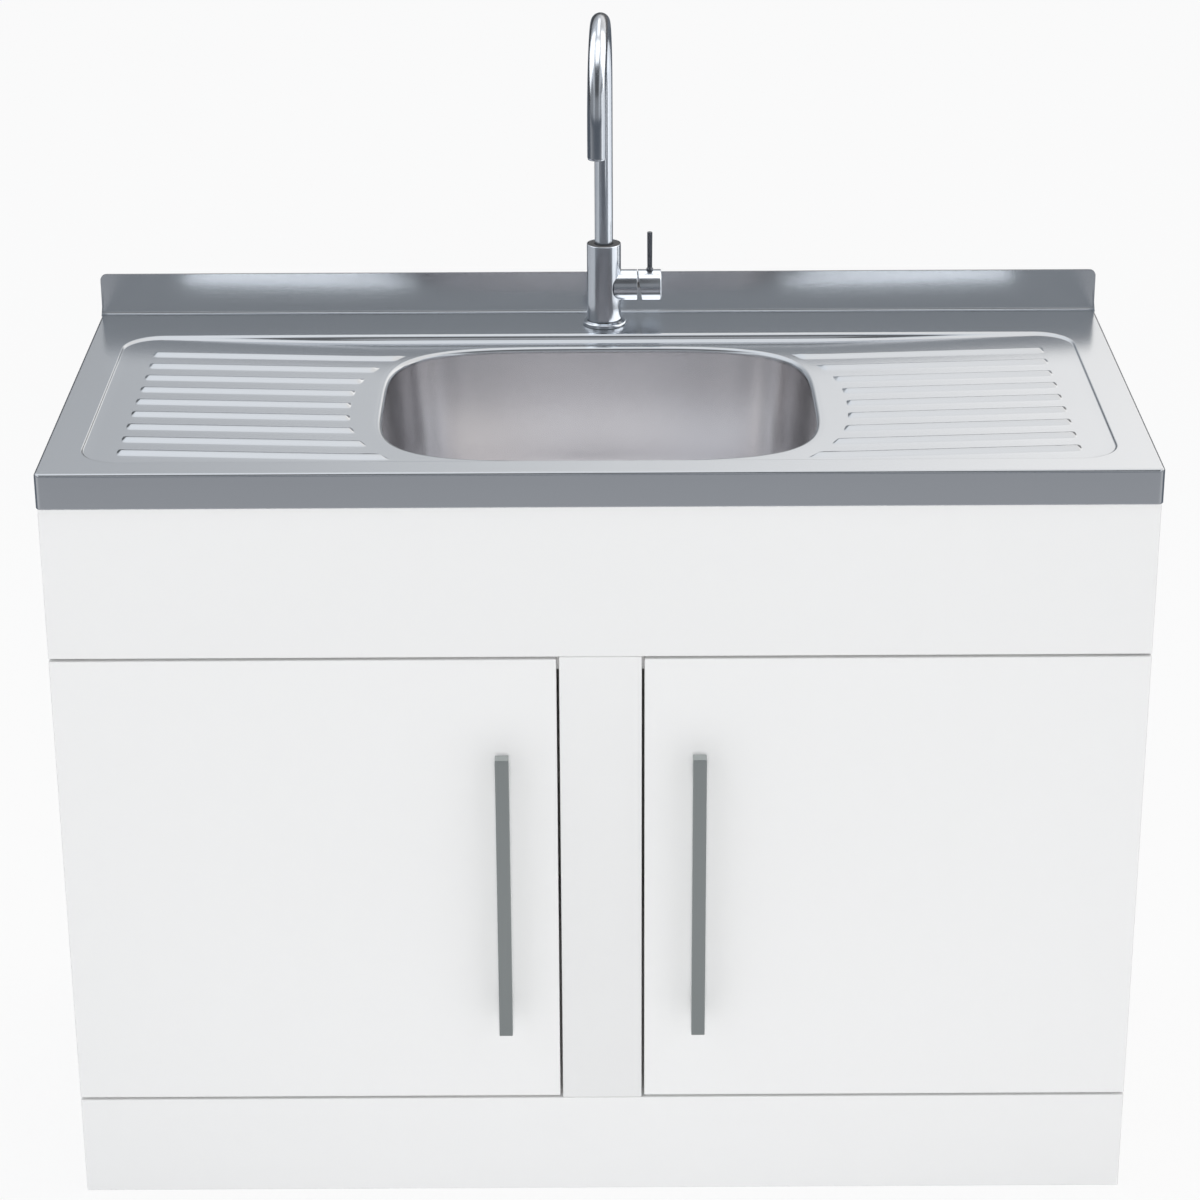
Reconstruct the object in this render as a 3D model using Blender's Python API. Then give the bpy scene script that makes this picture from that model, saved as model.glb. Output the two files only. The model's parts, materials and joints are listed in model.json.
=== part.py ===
"""Laundry sink cabinet: a white board cabinet with two doors under a pressed
stainless sink top with a centre bowl, two ribbed drainers and a mixer tap.

Metres, +Z up, +X to the right seen from the front, +Y to the back. The origin
lies on the floor below the middle of the overall width and depth.
"""
import math

import bmesh
import bpy
from mathutils import Vector

# Clearances
FIT = 0.0003                    # between pieces that touch
RUNNING_GAP = 0.0002            # around a piece that turns in another
BITE = 0.0005                   # depth to which a joined shape sinks into its base
OVERCUT = 0.010                 # how far a cutting shape passes the face it opens

# Sink top
TOP_WIDTH = 1.200
TOP_DEPTH = 0.555
APRON_HEIGHT = 0.040
APRON_CORNER = 0.007            # plan radius of the apron's corners
EDGE_RADIUS = 0.003             # roll of the apron into the top
APRON_FOOT_EASE = 0.001
RETURN_WIDTH = 0.024            # inward flange that rests on the cabinet
SHEET = 0.001
SPLASH_HEIGHT = 0.050
SPLASH_SHEET = 0.0016
SPLASH_CORNER = 0.008
SPLASH_LAP = 0.024              # of the splash down the back of the apron

# Drainers
LEDGE_SIDE = 0.040
LEDGE_FRONT = 0.0355
LEDGE_BACK = 0.086
RECESS_CORNER = 0.045
RECESS_STEP = 0.007             # run of the sloped step
RECESS_DEPTH = 0.0015           # at the outer ends
RECESS_FALL = 0.0075            # added towards the bowl
FALL_LENGTH = 0.300             # of that fall, from each outer end
RIB_COUNT = 9
RIB_PITCH = 0.0414
RIB_SHIFT = -0.012              # middle rib from the bowl's middle
RIB_WIDTH = 0.022
RIB_HEIGHT = 0.003
RIB_RUNOUT = 0.008
RIB_END_GAP = 0.039             # recess side to the ribs' outer ends
RIB_BOWL_GAP = 0.036            # bowl's side to the ribs' inner ends
RIB_CURVE_GAP = 0.061           # bowl's front and back to the curve of those ends
RIB_CURVE_POWER = 2.7

# Bowl
BOWL_HALF_WIDTH = 0.242
BOWL_HALF_DEPTH = 0.189
BOWL_POWER = 4.0
BOWL_DEPTH = 0.180
BOWL_TAPER = 0.010
BOWL_BOTTOM_RADIUS = 0.050
BOWL_FLOOR_FALL = 0.005
RIM_DEPTH = 0.0095              # rim below the top's ledge
RIM_ROLL = 0.0035
RIM_SURROUND = 0.010
LIP_HEIGHT = 0.008
SEAT_RADIUS = 0.060
DRAIN_RADIUS = 0.0465

# Cabinet
CABINET_HEIGHT = 0.849
SIDE_OVERHANG = 0.0015          # top past the cabinet's sides
APRON_OVERHANG = 0.004          # apron past the doors' faces
BOARD = 0.016
FRONT_BOARD = 0.018
BOARD_EASE = 0.0007
BACK_BOARD = 0.004
BACK_CLEARANCE = 0.005          # carcass back edge to the back of the top
BACK_INSET = 0.002
FASCIA_HEIGHT = 0.175
PLINTH_HEIGHT = 0.1215
STILE_WIDTH = 0.090
DOOR_GAP = 0.003
RAIL_OVERLAP = 0.020            # front rail below the doors' top edges
REAR_RAIL_HEIGHT = 0.100
SERVICE_WIDTH = 0.240
SERVICE_HEIGHT = 0.220

# Handles
HANDLE_REACH = 0.035
HANDLE_BAR = 0.015
HANDLE_LENGTH = 0.343
HANDLE_SPACING = 0.288
HANDLE_DROP = 0.105             # door's top edge to the bar's top
HANDLE_INSET = 0.060            # door's free edge to the bar's middle
HANDLE_EASE = 0.0008
POST_RADIUS = 0.005

# Hinges and catches
PIVOT_INSET = 0.004             # from the door's outer edge and from its back face
PIN_RADIUS = 0.0025
PIN_DEPTH = 0.010
PIN_HOLE_GAP = 0.0003
LEAF = 0.0020
LEAF_LENGTH = 0.036
LEAF_WIDTH = 0.011
CATCH_SIZE = Vector((0.040, 0.014, 0.012))
STRIKE_SIZE = Vector((0.030, 0.0012, 0.018))
CATCH_INSET = 0.045             # door's free edge to the catch's middle

# Waste
STRAINER_FLANGE_RADIUS = 0.056
STRAINER_FLANGE = 0.002
STRAINER_RADIUS = 0.0440
STRAINER_DEPTH = 0.050
STRAINER_WALL = 0.0015
NECK_RADIUS = 0.0195
NECK_LENGTH = 0.030
GASKET = 0.003
GASKET_RADIUS = 0.057
STRAINER_NUT_RADIUS = 0.054
STRAINER_NUT_HEIGHT = 0.012
BASKET_RIM_RADIUS = 0.047
BASKET_RIM = 0.0014
BASKET_GAP = 0.0012
BASKET_DEPTH = 0.030
BASKET_FLOOR_RADIUS = 0.036
BASKET_WALL = 0.0012
BASKET_SLOT_OUTER = 0.031
BASKET_SLOT_INNER = 0.013
BASKET_SLOTS = 10
BASKET_TURN = math.radians(5)   # of the slots from the cabinet's width
KNOB_RADIUS = 0.008
KNOB_HEIGHT = 0.022
TAILPIECE_RADIUS = 0.0162
TAILPIECE_WALL = 0.0016
TAILPIECE_LAP = 0.014           # of the tailpiece in the strainer's neck
TRAP_DROP = 0.040               # strainer's neck to the trap head
TRAP_RADIUS = 0.0270
TRAP_WALL = 0.0025
TRAP_HEIGHT = 0.060
TRAP_NUT_RADIUS = 0.0240
TRAP_NUT_HEIGHT = 0.014
TRAP_LAP = 0.014                # cup over the head
CUP_DEPTH = 0.070
DIP_CLEARANCE = 0.022           # tailpiece's end to the cup's floor
OUTLET_RADIUS = 0.0190
OUTLET_BORE = 0.0160
OUTLET_REACH = 0.050
OUTLET_DROP = 0.023             # trap head's top to the outlet's middle
PIPE_LAP = 0.020
PIPE_WALL = 0.0016

# Tap, seen
TAP_X = 0.007
TAP_FROM_BACK = 0.048
TAP_FLANGE_RADIUS = 0.0252
TAP_FLANGE_HEIGHT = 0.004
TAP_BODY_RADIUS = 0.0202
TAP_BODY_TOP = 0.100            # above the ledge
BARREL_RADIUS = 0.0186
BARREL_HEIGHT = 0.048           # of its middle above the ledge
BARREL_END = 0.0395             # from the tap's axis
CAP_END = 0.068
CAP_TOP_GAP = 0.0008
CAP_FOOT_GAP = 0.0063
CAP_WALL = 0.0028
CAP_FACE = 0.010
CAP_EASE = 0.0012
LEVER_AT = 0.0545
LEVER_RADIUS = 0.0033
LEVER_TOP = 0.1135              # above the ledge
SPOUT_RADIUS = 0.01075
SPOUT_WALL = 0.0015
SPOUT_BEND = 0.095
SPOUT_BEND_HEIGHT = 0.2895      # of the bend's middle above the ledge
SPOUT_DROP = 0.034              # straight leg below the bend's middle
SPOUT_TURN = math.radians(-2.4)

# Tap, inside and below
TAP_GASKET = 0.0015
TAP_HOLE = 0.0175
SHANK_RADIUS = 0.0165
SHANK_BORE = 0.0104
SHANK_LENGTH = 0.055            # below the ledge
CLAMP_RADIUS = 0.0240
CLAMP = 0.003
LOCKNUT_RADIUS = 0.0220
LOCKNUT_HEIGHT = 0.010
INLET_RADIUS = 0.0048
INLET_SPREAD = 0.0053
INLET_LENGTH = 0.040
INLET_LAP = 0.012
INLET_WALL = 0.0014
BUSH_RADIUS = 0.0150
BUSH_HEIGHT = 0.022
BUSH_RECESS = 0.001
SPOUT_FOOT = 0.026              # spout below the body's top
CARTRIDGE_RADIUS = 0.0160
CARTRIDGE_START = 0.010
CARTRIDGE_LENGTH = 0.0235
CARTRIDGE_RECESS = 0.003
CARTRIDGE_NUT_BORE = 0.0112
ROTOR_RADIUS = 0.0100
ROTOR_LENGTH = 0.0055
SPINDLE_RADIUS = 0.004
SPINDLE_START = 0.0375
TILT_AT = 0.046                 # tilt axis from the tap's axis
AERATOR_LIP = 0.0014
AERATOR_LENGTH = 0.012
AERATOR_BORE = 0.0062

# Counts of flat sides on round pieces
SIDES = 24
SMALL_SIDES = 16
BOWL_SIDES = 64
SPOUT_SIDES = 16
BEND_STEPS = 16
CORNER_STEPS = 4
BOTTOM_STEPS = 3
LONG_SIDE_POINTS = 23
SHORT_SIDE_POINTS = 7
SMOOTH_ANGLE = math.radians(35)

# Places that follow from the sizes above
APRON_Y = (HANDLE_REACH - APRON_OVERHANG - TOP_DEPTH) / 2
BACK_Y = APRON_Y + TOP_DEPTH
FACE_Y = APRON_Y + APRON_OVERHANG
DOOR_BACK_Y = FACE_Y + BOARD
CARCASS_FRONT_Y = FACE_Y + FRONT_BOARD + FIT
CARCASS_BACK_Y = BACK_Y - BACK_CLEARANCE
COUNTER_Z = CABINET_HEIGHT + APRON_HEIGHT
CARCASS_TOP_Z = CABINET_HEIGHT - FIT
FASCIA_FOOT_Z = CABINET_HEIGHT - FASCIA_HEIGHT
DOOR_TOP_Z = FASCIA_FOOT_Z - DOOR_GAP
DOOR_FOOT_Z = PLINTH_HEIGHT + DOOR_GAP
RAIL_FOOT_Z = DOOR_TOP_Z - RAIL_OVERLAP
HALF_CABINET = TOP_WIDTH / 2 - SIDE_OVERHANG
INNER_HALF = HALF_CABINET - BOARD - FIT
DOOR_FREE_X = STILE_WIDTH / 2 + DOOR_GAP
PIVOT_X = HALF_CABINET - PIVOT_INSET
PIVOT_Y = DOOR_BACK_Y - PIVOT_INSET
HANDLE_X = DOOR_FREE_X + HANDLE_INSET
HANDLE_TOP_Z = DOOR_TOP_Z - HANDLE_DROP
RECESS_HALF = TOP_WIDTH / 2 - LEDGE_SIDE
RECESS_FRONT_Y = APRON_Y + LEDGE_FRONT
RECESS_BACK_Y = BACK_Y - LEDGE_BACK
BOWL_Y = (RECESS_FRONT_Y + RECESS_BACK_Y) / 2
RIB_MIDDLE_Y = BOWL_Y + RIB_SHIFT
RIM_Z = COUNTER_Z - RIM_DEPTH
BOWL_FLOOR_Z = RIM_Z - BOWL_DEPTH
SEAT_Z = BOWL_FLOOR_Z - BOWL_FLOOR_FALL
TAP_Y = BACK_Y - TAP_FROM_BACK
BARREL_Z = COUNTER_Z + BARREL_HEIGHT
FLANGE_FOOT_Z = COUNTER_Z + TAP_GASKET + 2 * FIT
BODY_FOOT_Z = FLANGE_FOOT_Z + TAP_FLANGE_HEIGHT + FIT
NECK_FOOT_Z = SEAT_Z - STRAINER_DEPTH - NECK_LENGTH
TRAP_TOP_Z = NECK_FOOT_Z - TRAP_DROP
OUTLET_Z = TRAP_TOP_Z - OUTLET_DROP
CUP_TOP_Z = TRAP_TOP_Z - TRAP_HEIGHT + TRAP_LAP
CUP_FLOOR_Z = TRAP_TOP_Z - TRAP_HEIGHT - CUP_DEPTH


def clear_scene():
    """Removes every object, so that the file holds this part alone."""
    for found in list(bpy.data.objects):
        bpy.data.objects.remove(found, do_unlink=True)


# Materials

def finish(name, colour, roughness, metallic=0.0):
    """A plain Principled surface of this colour."""
    made = bpy.data.materials.new(name)
    made.use_nodes = True
    shader = made.node_tree.nodes["Principled BSDF"]
    shader.inputs["Base Color"].default_value = (*colour, 1.0)
    shader.inputs["Roughness"].default_value = roughness
    shader.inputs["Metallic"].default_value = metallic
    made.diffuse_color = (*colour, 1.0)
    return made


def white_board(name):
    return finish(name, (0.83, 0.84, 0.84), 0.38)


def hardboard(name):
    return finish(name, (0.74, 0.73, 0.70), 0.7)


def stainless(name):
    return finish(name, (0.52, 0.54, 0.56), 0.30, 1.0)


def bar_steel(name):
    return finish(name, (0.24, 0.25, 0.25), 0.42, 1.0)


def bright_chrome(name):
    return finish(name, (0.62, 0.64, 0.67), 0.08, 1.0)


def zinc_steel(name):
    return finish(name, (0.55, 0.55, 0.56), 0.4, 1.0)


def yellow_brass(name):
    return finish(name, (0.70, 0.53, 0.26), 0.35, 1.0)


def white_plastic(name):
    return finish(name, (0.80, 0.80, 0.79), 0.45)


def dark_plastic(name):
    return finish(name, (0.05, 0.05, 0.055), 0.5)


def black_rubber(name):
    return finish(name, (0.03, 0.03, 0.03), 0.8)


# Building blocks

def keep(name, mesh_data, surface, at=(0, 0, 0), carrier=None, turn=(0, 0, 0), smooth=True):
    """Makes the named object from a bmesh, at a place given in the part's frame."""
    bmesh.ops.recalc_face_normals(mesh_data, faces=mesh_data.faces)
    mesh = bpy.data.meshes.new(name)
    mesh_data.to_mesh(mesh)
    mesh_data.free()
    mesh.materials.append(surface(name))
    if smooth:
        mesh.shade_smooth()
        mesh.set_sharp_from_angle(angle=SMOOTH_ANGLE)
    made = bpy.data.objects.new(name, mesh)
    bpy.context.scene.collection.objects.link(made)
    made.rotation_euler = turn
    made.location = Vector(at)
    if carrier:
        made.parent = carrier
        made.location = Vector(at) - carrier.location
    return made


def tool(name, mesh_data, at=(0, 0, 0), turn=(0, 0, 0)):
    """A hidden shape that is joined to another piece or cut out of it."""
    made = keep(name, mesh_data, dark_plastic, at, None, turn)
    made.hide_render = True
    made.display_type = "WIRE"
    return made


def combine(target, shape, operation):
    """Joins a hidden shape to a piece (UNION) or cuts it out (DIFFERENCE)."""
    change = target.modifiers.new(shape.name, "BOOLEAN")
    change.operation = operation
    change.solver = "EXACT"
    change.object = shape


def axis_mark(name, at):
    """An empty on a joint's axis, which carries the pieces that move together."""
    made = bpy.data.objects.new(name, None)
    bpy.context.scene.collection.objects.link(made)
    made.location = at
    return made


def box_shape(size):
    """A block of this size about its own middle."""
    shape = bmesh.new()
    bmesh.ops.create_cube(shape, size=1.0)
    bmesh.ops.scale(shape, vec=Vector(size), verts=shape.verts)
    return shape


def block(name, low, high, surface, carrier=None, ease=BOARD_EASE):
    """A block between two corners, with its edges eased."""
    low = Vector(low)
    high = Vector(high)
    made = keep(name, box_shape(high - low), surface, (low + high) / 2, carrier, smooth=False)
    if ease:
        bevel = made.modifiers.new("eased edges", "BEVEL")
        bevel.width = ease
        bevel.segments = 1
    return made


def skin(shape, rings, wrap=False):
    """Joins rings of points, in order, with quads; wrap also joins the last to the first."""
    made = [[shape.verts.new(point) for point in ring] for ring in rings]
    pairs = list(zip(made, made[1:]))
    if wrap:
        pairs.append((made[-1], made[0]))
    for one, two in pairs:
        for k in range(len(one)):
            n = (k + 1) % len(one)
            shape.faces.new((one[k], one[n], two[n], two[k]))
    return made


def circle(radius, height, sides):
    """Points round the local Z axis."""
    steps = [2 * math.pi * k / sides for k in range(sides)]
    return [(radius * math.cos(a), radius * math.sin(a), height) for a in steps]


def turned(profile, sides=SIDES):
    """A solid turned about Z from a closed loop of (radius, height) points clear of the axis."""
    shape = bmesh.new()
    skin(shape, [circle(radius, height, sides) for radius, height in profile], wrap=True)
    return shape


def spun(profile, sides=SIDES):
    """A solid turned about Z from an outline of (radius, height) points, closed by flat ends."""
    shape = bmesh.new()
    rings = skin(shape, [circle(radius, height, sides) for radius, height in profile])
    shape.faces.new(rings[0])
    shape.faces.new(rings[-1])
    return shape


def rod(radius, foot, top, sides=SMALL_SIDES):
    return spun([(radius, foot), (radius, top)], sides)


def ring_shape(outer, inner, foot, top, sides=SIDES):
    return turned([(outer, foot), (outer, top), (inner, top), (inner, foot)], sides)


ALONG_X = (0, math.pi / 2, 0)
ALONG_Y = (-math.pi / 2, 0, 0)


# Outlines of the sink top

def rounded_rectangle(half_width, front, back, corner):
    """Points anticlockwise round a rectangle with round corners, from the front left corner."""
    corner = max(corner, BITE)
    middles = (
        (-half_width + corner, front + corner, math.pi),
        (half_width - corner, front + corner, 1.5 * math.pi),
        (half_width - corner, back - corner, 0.0),
        (-half_width + corner, back - corner, 0.5 * math.pi),
    )
    arcs = []
    for x, y, start in middles:
        turns = [start + 0.5 * math.pi * k / CORNER_STEPS for k in range(CORNER_STEPS + 1)]
        arcs.append([Vector((x + corner * math.cos(a), y + corner * math.sin(a))) for a in turns])
    points = []
    for k, arc in enumerate(arcs):
        between = LONG_SIDE_POINTS if k % 2 == 0 else SHORT_SIDE_POINTS
        end = arcs[(k + 1) % 4][0]
        steps = [step / (between + 1) for step in range(1, between + 1)]
        points += arc + [arc[-1].lerp(end, step) for step in steps]
    return points


def apron_outline(inset):
    """The top's outer edge, moved in; its back stays under the splash's sheet."""
    back = BACK_Y - BITE
    return rounded_rectangle(TOP_WIDTH / 2 - inset, APRON_Y + inset, back - inset, APRON_CORNER - inset)


def recess_outline(inset):
    """The drainers' edge, moved in."""
    front = RECESS_FRONT_Y + inset
    return rounded_rectangle(RECESS_HALF - inset, front, RECESS_BACK_Y - inset, RECESS_CORNER - inset)


def oval_reach(half_width, half_depth, power, direction):
    """Distance from the middle of a superellipse to its edge, in one direction."""
    along = abs(math.cos(direction) / half_width) ** power
    across = abs(math.sin(direction) / half_depth) ** power
    return (along + across) ** (-1 / power)


def bowl_outline(offset, directions, power=BOWL_POWER):
    """The bowl's edge, moved out by offset, with a point in each direction from its middle."""
    points = []
    for direction in directions:
        reach = oval_reach(BOWL_HALF_WIDTH + offset, BOWL_HALF_DEPTH + offset, power, direction)
        points.append(Vector((reach * math.cos(direction), BOWL_Y + reach * math.sin(direction))))
    return points


def drainer_z(x):
    """Height of the drainers, which fall from the ends towards the bowl and are level round it."""
    fallen_share = min(1, (RECESS_HALF - abs(x)) / FALL_LENGTH)
    return COUNTER_Z - RECESS_DEPTH - RECESS_FALL * fallen_share


def level(outline, height):
    return [(point.x, point.y, height) for point in outline]


def fallen(outline, height=0.0):
    return [(point.x, point.y, drainer_z(point.x) + height) for point in outline]


# Sink top and bowl

def top_sheet():
    """The pressed sheet: up the apron, over the top, down to the bowl's lip and back beneath."""
    step_foot = recess_outline(RECESS_STEP)
    directions = [math.atan2(point.y - BOWL_Y, point.x) for point in step_foot]
    surround = bowl_outline(RIM_SURROUND, directions)
    lip = bowl_outline(0, directions)
    lip_z = RIM_Z - LIP_HEIGHT
    roll = EDGE_RADIUS * (1 - math.sqrt(0.5))
    under = COUNTER_Z - SHEET
    rings = [
        level(apron_outline(RETURN_WIDTH), CABINET_HEIGHT),
        level(apron_outline(APRON_FOOT_EASE), CABINET_HEIGHT),
        level(apron_outline(0), CABINET_HEIGHT + APRON_FOOT_EASE),
        level(apron_outline(0), COUNTER_Z - EDGE_RADIUS),
        level(apron_outline(roll), COUNTER_Z - roll),
        level(apron_outline(EDGE_RADIUS), COUNTER_Z),
        level(recess_outline(0), COUNTER_Z),
        fallen(step_foot),
        fallen(surround),
        level(bowl_outline(RIM_ROLL, directions), RIM_Z),
        level(bowl_outline(SHEET, directions), RIM_Z - SHEET),
        level(lip, lip_z),
        level(bowl_outline(SHEET, directions), lip_z),
        level(bowl_outline(RIM_ROLL + SHEET, directions), RIM_Z - SHEET),
        fallen(surround, -SHEET),
        fallen(step_foot, -SHEET),
        level(recess_outline(0), under),
        level(apron_outline(EDGE_RADIUS), under),
        level(apron_outline(SHEET), COUNTER_Z - EDGE_RADIUS),
        level(apron_outline(SHEET), CABINET_HEIGHT + SHEET),
        level(apron_outline(RETURN_WIDTH), CABINET_HEIGHT + SHEET),
    ]
    shape = bmesh.new()
    skin(shape, rings, wrap=True)
    return shape


def rib_section(x, y, width, rise):
    """One cross-section of a rib at x: a crowned top on a foot sunk into the sheet."""
    foot = drainer_z(x) - BITE
    spring = foot + BITE / 2
    curve = [(-0.5, 0.0), (-0.3, 0.75), (0.0, 1.0), (0.3, 0.75), (0.5, 0.0)]
    crown = [(x, y + width * across, spring + rise * up) for across, up in curve]
    return [(x, y - width / 2, foot), *crown, (x, y + width / 2, foot)]


def add_rib(shape, side, y):
    """A rib from its outer end to the curve round the bowl, running out at both ends."""
    half_depth = BOWL_HALF_DEPTH + RIB_CURVE_GAP
    curve = 1 - (abs(y - RIB_MIDDLE_Y) / half_depth) ** RIB_CURVE_POWER
    inner = (BOWL_HALF_WIDTH + RIB_BOWL_GAP) * curve ** (1 / RIB_CURVE_POWER)
    outer = RECESS_HALF - RIB_END_GAP
    narrow = RIB_WIDTH - RIB_RUNOUT
    rise = RIB_HEIGHT + BITE / 2
    sections = [
        rib_section(side * inner, y, narrow, 0),
        rib_section(side * (inner + RIB_RUNOUT), y, RIB_WIDTH, rise),
        rib_section(side * (outer - RIB_RUNOUT), y, RIB_WIDTH, rise),
        rib_section(side * outer, y, narrow, 0),
    ]
    rings = skin(shape, sections)
    shape.faces.new(rings[0])
    shape.faces.new(rings[-1])


def add_splash(shape):
    """The upstand along the back edge, with round upper corners."""
    half = TOP_WIDTH / 2
    top = COUNTER_Z + SPLASH_HEIGHT
    foot = COUNTER_Z - SPLASH_LAP
    outline = [(-half, foot), (half, foot)]
    for side, start in ((1, 0.0), (-1, 0.5 * math.pi)):
        for k in range(CORNER_STEPS + 1):
            turn = start + 0.5 * math.pi * k / CORNER_STEPS
            x = side * (half - SPLASH_CORNER) + SPLASH_CORNER * math.cos(turn)
            outline.append((x, top - SPLASH_CORNER + SPLASH_CORNER * math.sin(turn)))
    rings = skin(shape, [[(x, y, z) for x, z in outline] for y in (BACK_Y - SPLASH_SHEET, BACK_Y)])
    shape.faces.new(rings[0])
    shape.faces.new(rings[-1])


def make_sink_top():
    """The top with its ribs and splash joined on, and the tap's hole cut out."""
    top = keep("sink_top", top_sheet(), stainless)
    raised = bmesh.new()
    for k in range(RIB_COUNT):
        y = RIB_MIDDLE_Y + (k - (RIB_COUNT - 1) / 2) * RIB_PITCH
        add_rib(raised, -1, y)
        add_rib(raised, 1, y)
    add_splash(raised)
    combine(top, tool("ribs_and_splash", raised), "UNION")
    hole = rod(TAP_HOLE, -OVERCUT, OVERCUT, SIDES)
    combine(top, tool("tap_hole", hole, (TAP_X, TAP_Y, COUNTER_Z)), "DIFFERENCE")


def bowl_rings(offset, drop):
    """Rings of one face of the bowl from its top edge to the drain hole."""
    directions = [2 * math.pi * k / BOWL_SIDES for k in range(BOWL_SIDES)]
    top_z = RIM_Z - LIP_HEIGHT - FIT
    rings = [level(bowl_outline(offset, directions), top_z)]
    corner_z = BOWL_FLOOR_Z + BOWL_BOTTOM_RADIUS
    for k in range(BOTTOM_STEPS + 1):
        turn = 0.5 * math.pi * k / BOTTOM_STEPS
        inset = BOWL_TAPER + BOWL_BOTTOM_RADIUS * (1 - math.cos(turn))
        height = corner_z - (BOWL_BOTTOM_RADIUS + drop) * math.sin(turn)
        rings.append(level(bowl_outline(offset * math.cos(turn) - inset, directions), height))
    for radius in (SEAT_RADIUS, DRAIN_RADIUS):
        rings.append([(x, BOWL_Y + y, z - drop) for x, y, z in circle(radius, SEAT_Z, BOWL_SIDES)])
    return rings


def make_bowl():
    """The drawn bowl: its inner face, then back up its outer face."""
    shape = bmesh.new()
    skin(shape, bowl_rings(0, 0) + bowl_rings(SHEET, SHEET)[::-1], wrap=True)
    keep("bowl", shape, stainless)


# Cabinet

def make_carcass():
    """Sides, bottom, back and rails."""
    for name, side in (("side_panel_left", -1), ("side_panel_right", 1)):
        edges = sorted((side * HALF_CABINET, side * (HALF_CABINET - BOARD)))
        low = (edges[0], CARCASS_FRONT_Y, 0)
        block(name, low, (edges[1], CARCASS_BACK_Y, CARCASS_TOP_Z), white_board)
    low = (-INNER_HALF, CARCASS_FRONT_Y, PLINTH_HEIGHT - BOARD)
    block("bottom_panel", low, (INNER_HALF, CARCASS_BACK_Y, PLINTH_HEIGHT), white_board)
    low = (-INNER_HALF, CARCASS_FRONT_Y, RAIL_FOOT_Z)
    block("front_rail", low, (INNER_HALF, CARCASS_FRONT_Y + BOARD, CARCASS_TOP_Z), white_board)
    low = (-INNER_HALF, CARCASS_BACK_Y - BOARD, CARCASS_TOP_Z - REAR_RAIL_HEIGHT)
    block("rear_rail", low, (INNER_HALF, CARCASS_BACK_Y, CARCASS_TOP_Z), white_board)
    make_back_panel()


def make_back_panel():
    """Thin board over the carcass's back edges, with an opening for the pipes."""
    half = HALF_CABINET - BACK_INSET
    front = CARCASS_BACK_Y + FIT
    low = (-half, front, PLINTH_HEIGHT - BOARD)
    high = (half, front + BACK_BOARD, CARCASS_TOP_Z - BACK_INSET)
    panel = block("back_panel", low, high, hardboard, ease=0)
    opening = box_shape((SERVICE_WIDTH, BACK_BOARD + 2 * OVERCUT, SERVICE_HEIGHT))
    combine(panel, tool("service_opening", opening, (0, front, OUTLET_Z)), "DIFFERENCE")


def make_front():
    """The fixed panels in the doors' plane: fascia, stile and plinth."""
    back = FACE_Y + FRONT_BOARD
    high = (HALF_CABINET, back, CARCASS_TOP_Z)
    block("fascia_panel", (-HALF_CABINET, FACE_Y, FASCIA_FOOT_Z), high, white_board)
    high = (STILE_WIDTH / 2, back, FASCIA_FOOT_Z - FIT)
    block("centre_stile", (-STILE_WIDTH / 2, FACE_Y, PLINTH_HEIGHT + FIT), high, white_board)
    high = (HALF_CABINET, back, PLINTH_HEIGHT)
    block("plinth_panel", (-HALF_CABINET, FACE_Y, 0), high, white_board)


# Doors

def make_door(side, word):
    """A door on its two pins, with its handle, strike plate, leaves and catch."""
    pivot = axis_mark(f"door_axis_{word}", (side * PIVOT_X, PIVOT_Y, DOOR_FOOT_Z))
    edges = sorted((side * HALF_CABINET, side * DOOR_FREE_X))
    low = (edges[0], FACE_Y, DOOR_FOOT_Z)
    door = block(f"door_{word}", low, (edges[1], DOOR_BACK_Y, DOOR_TOP_Z), white_board, pivot)
    for end, edge_z, up in (("upper", DOOR_TOP_Z, 1), ("lower", DOOR_FOOT_Z, -1)):
        hole = rod(PIN_RADIUS + PIN_HOLE_GAP, -PIN_DEPTH - FIT, OVERCUT)
        turn = (0, 0, 0) if up > 0 else (math.pi, 0, 0)
        place = (side * PIVOT_X, PIVOT_Y, edge_z)
        combine(door, tool(f"pin_hole_{word}_{end}", hole, place, turn), "DIFFERENCE")
        make_hinge(side, f"{word}_{end}", edge_z, up)
    make_handle(side, word, pivot)
    make_catch(side, word, pivot)


def make_hinge(side, word, edge_z, up):
    """A flat leaf against the fixed panel past the door's edge, and the pin that it holds."""
    leaf_far = edge_z + up * (DOOR_GAP - FIT)
    leaf_near = leaf_far - up * LEAF
    heights = sorted((leaf_near, leaf_far))
    ends = sorted((side * (HALF_CABINET - FIT), side * (HALF_CABINET - LEAF_LENGTH)))
    low = (ends[0], PIVOT_Y - LEAF_WIDTH / 2, heights[0])
    high = (ends[1], PIVOT_Y + LEAF_WIDTH / 2, heights[1])
    leaf = block(f"hinge_leaf_{word}", low, high, zinc_steel, ease=0)
    place = (side * PIVOT_X, PIVOT_Y, 0)
    hole = rod(PIN_RADIUS + PIN_HOLE_GAP, heights[0] - OVERCUT, heights[1] + OVERCUT)
    combine(leaf, tool(f"leaf_hole_{word}", hole, place), "DIFFERENCE")
    ends = sorted((leaf_far, edge_z - up * PIN_DEPTH))
    keep(f"hinge_pin_{word}", rod(PIN_RADIUS, *ends), zinc_steel, place)


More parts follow.
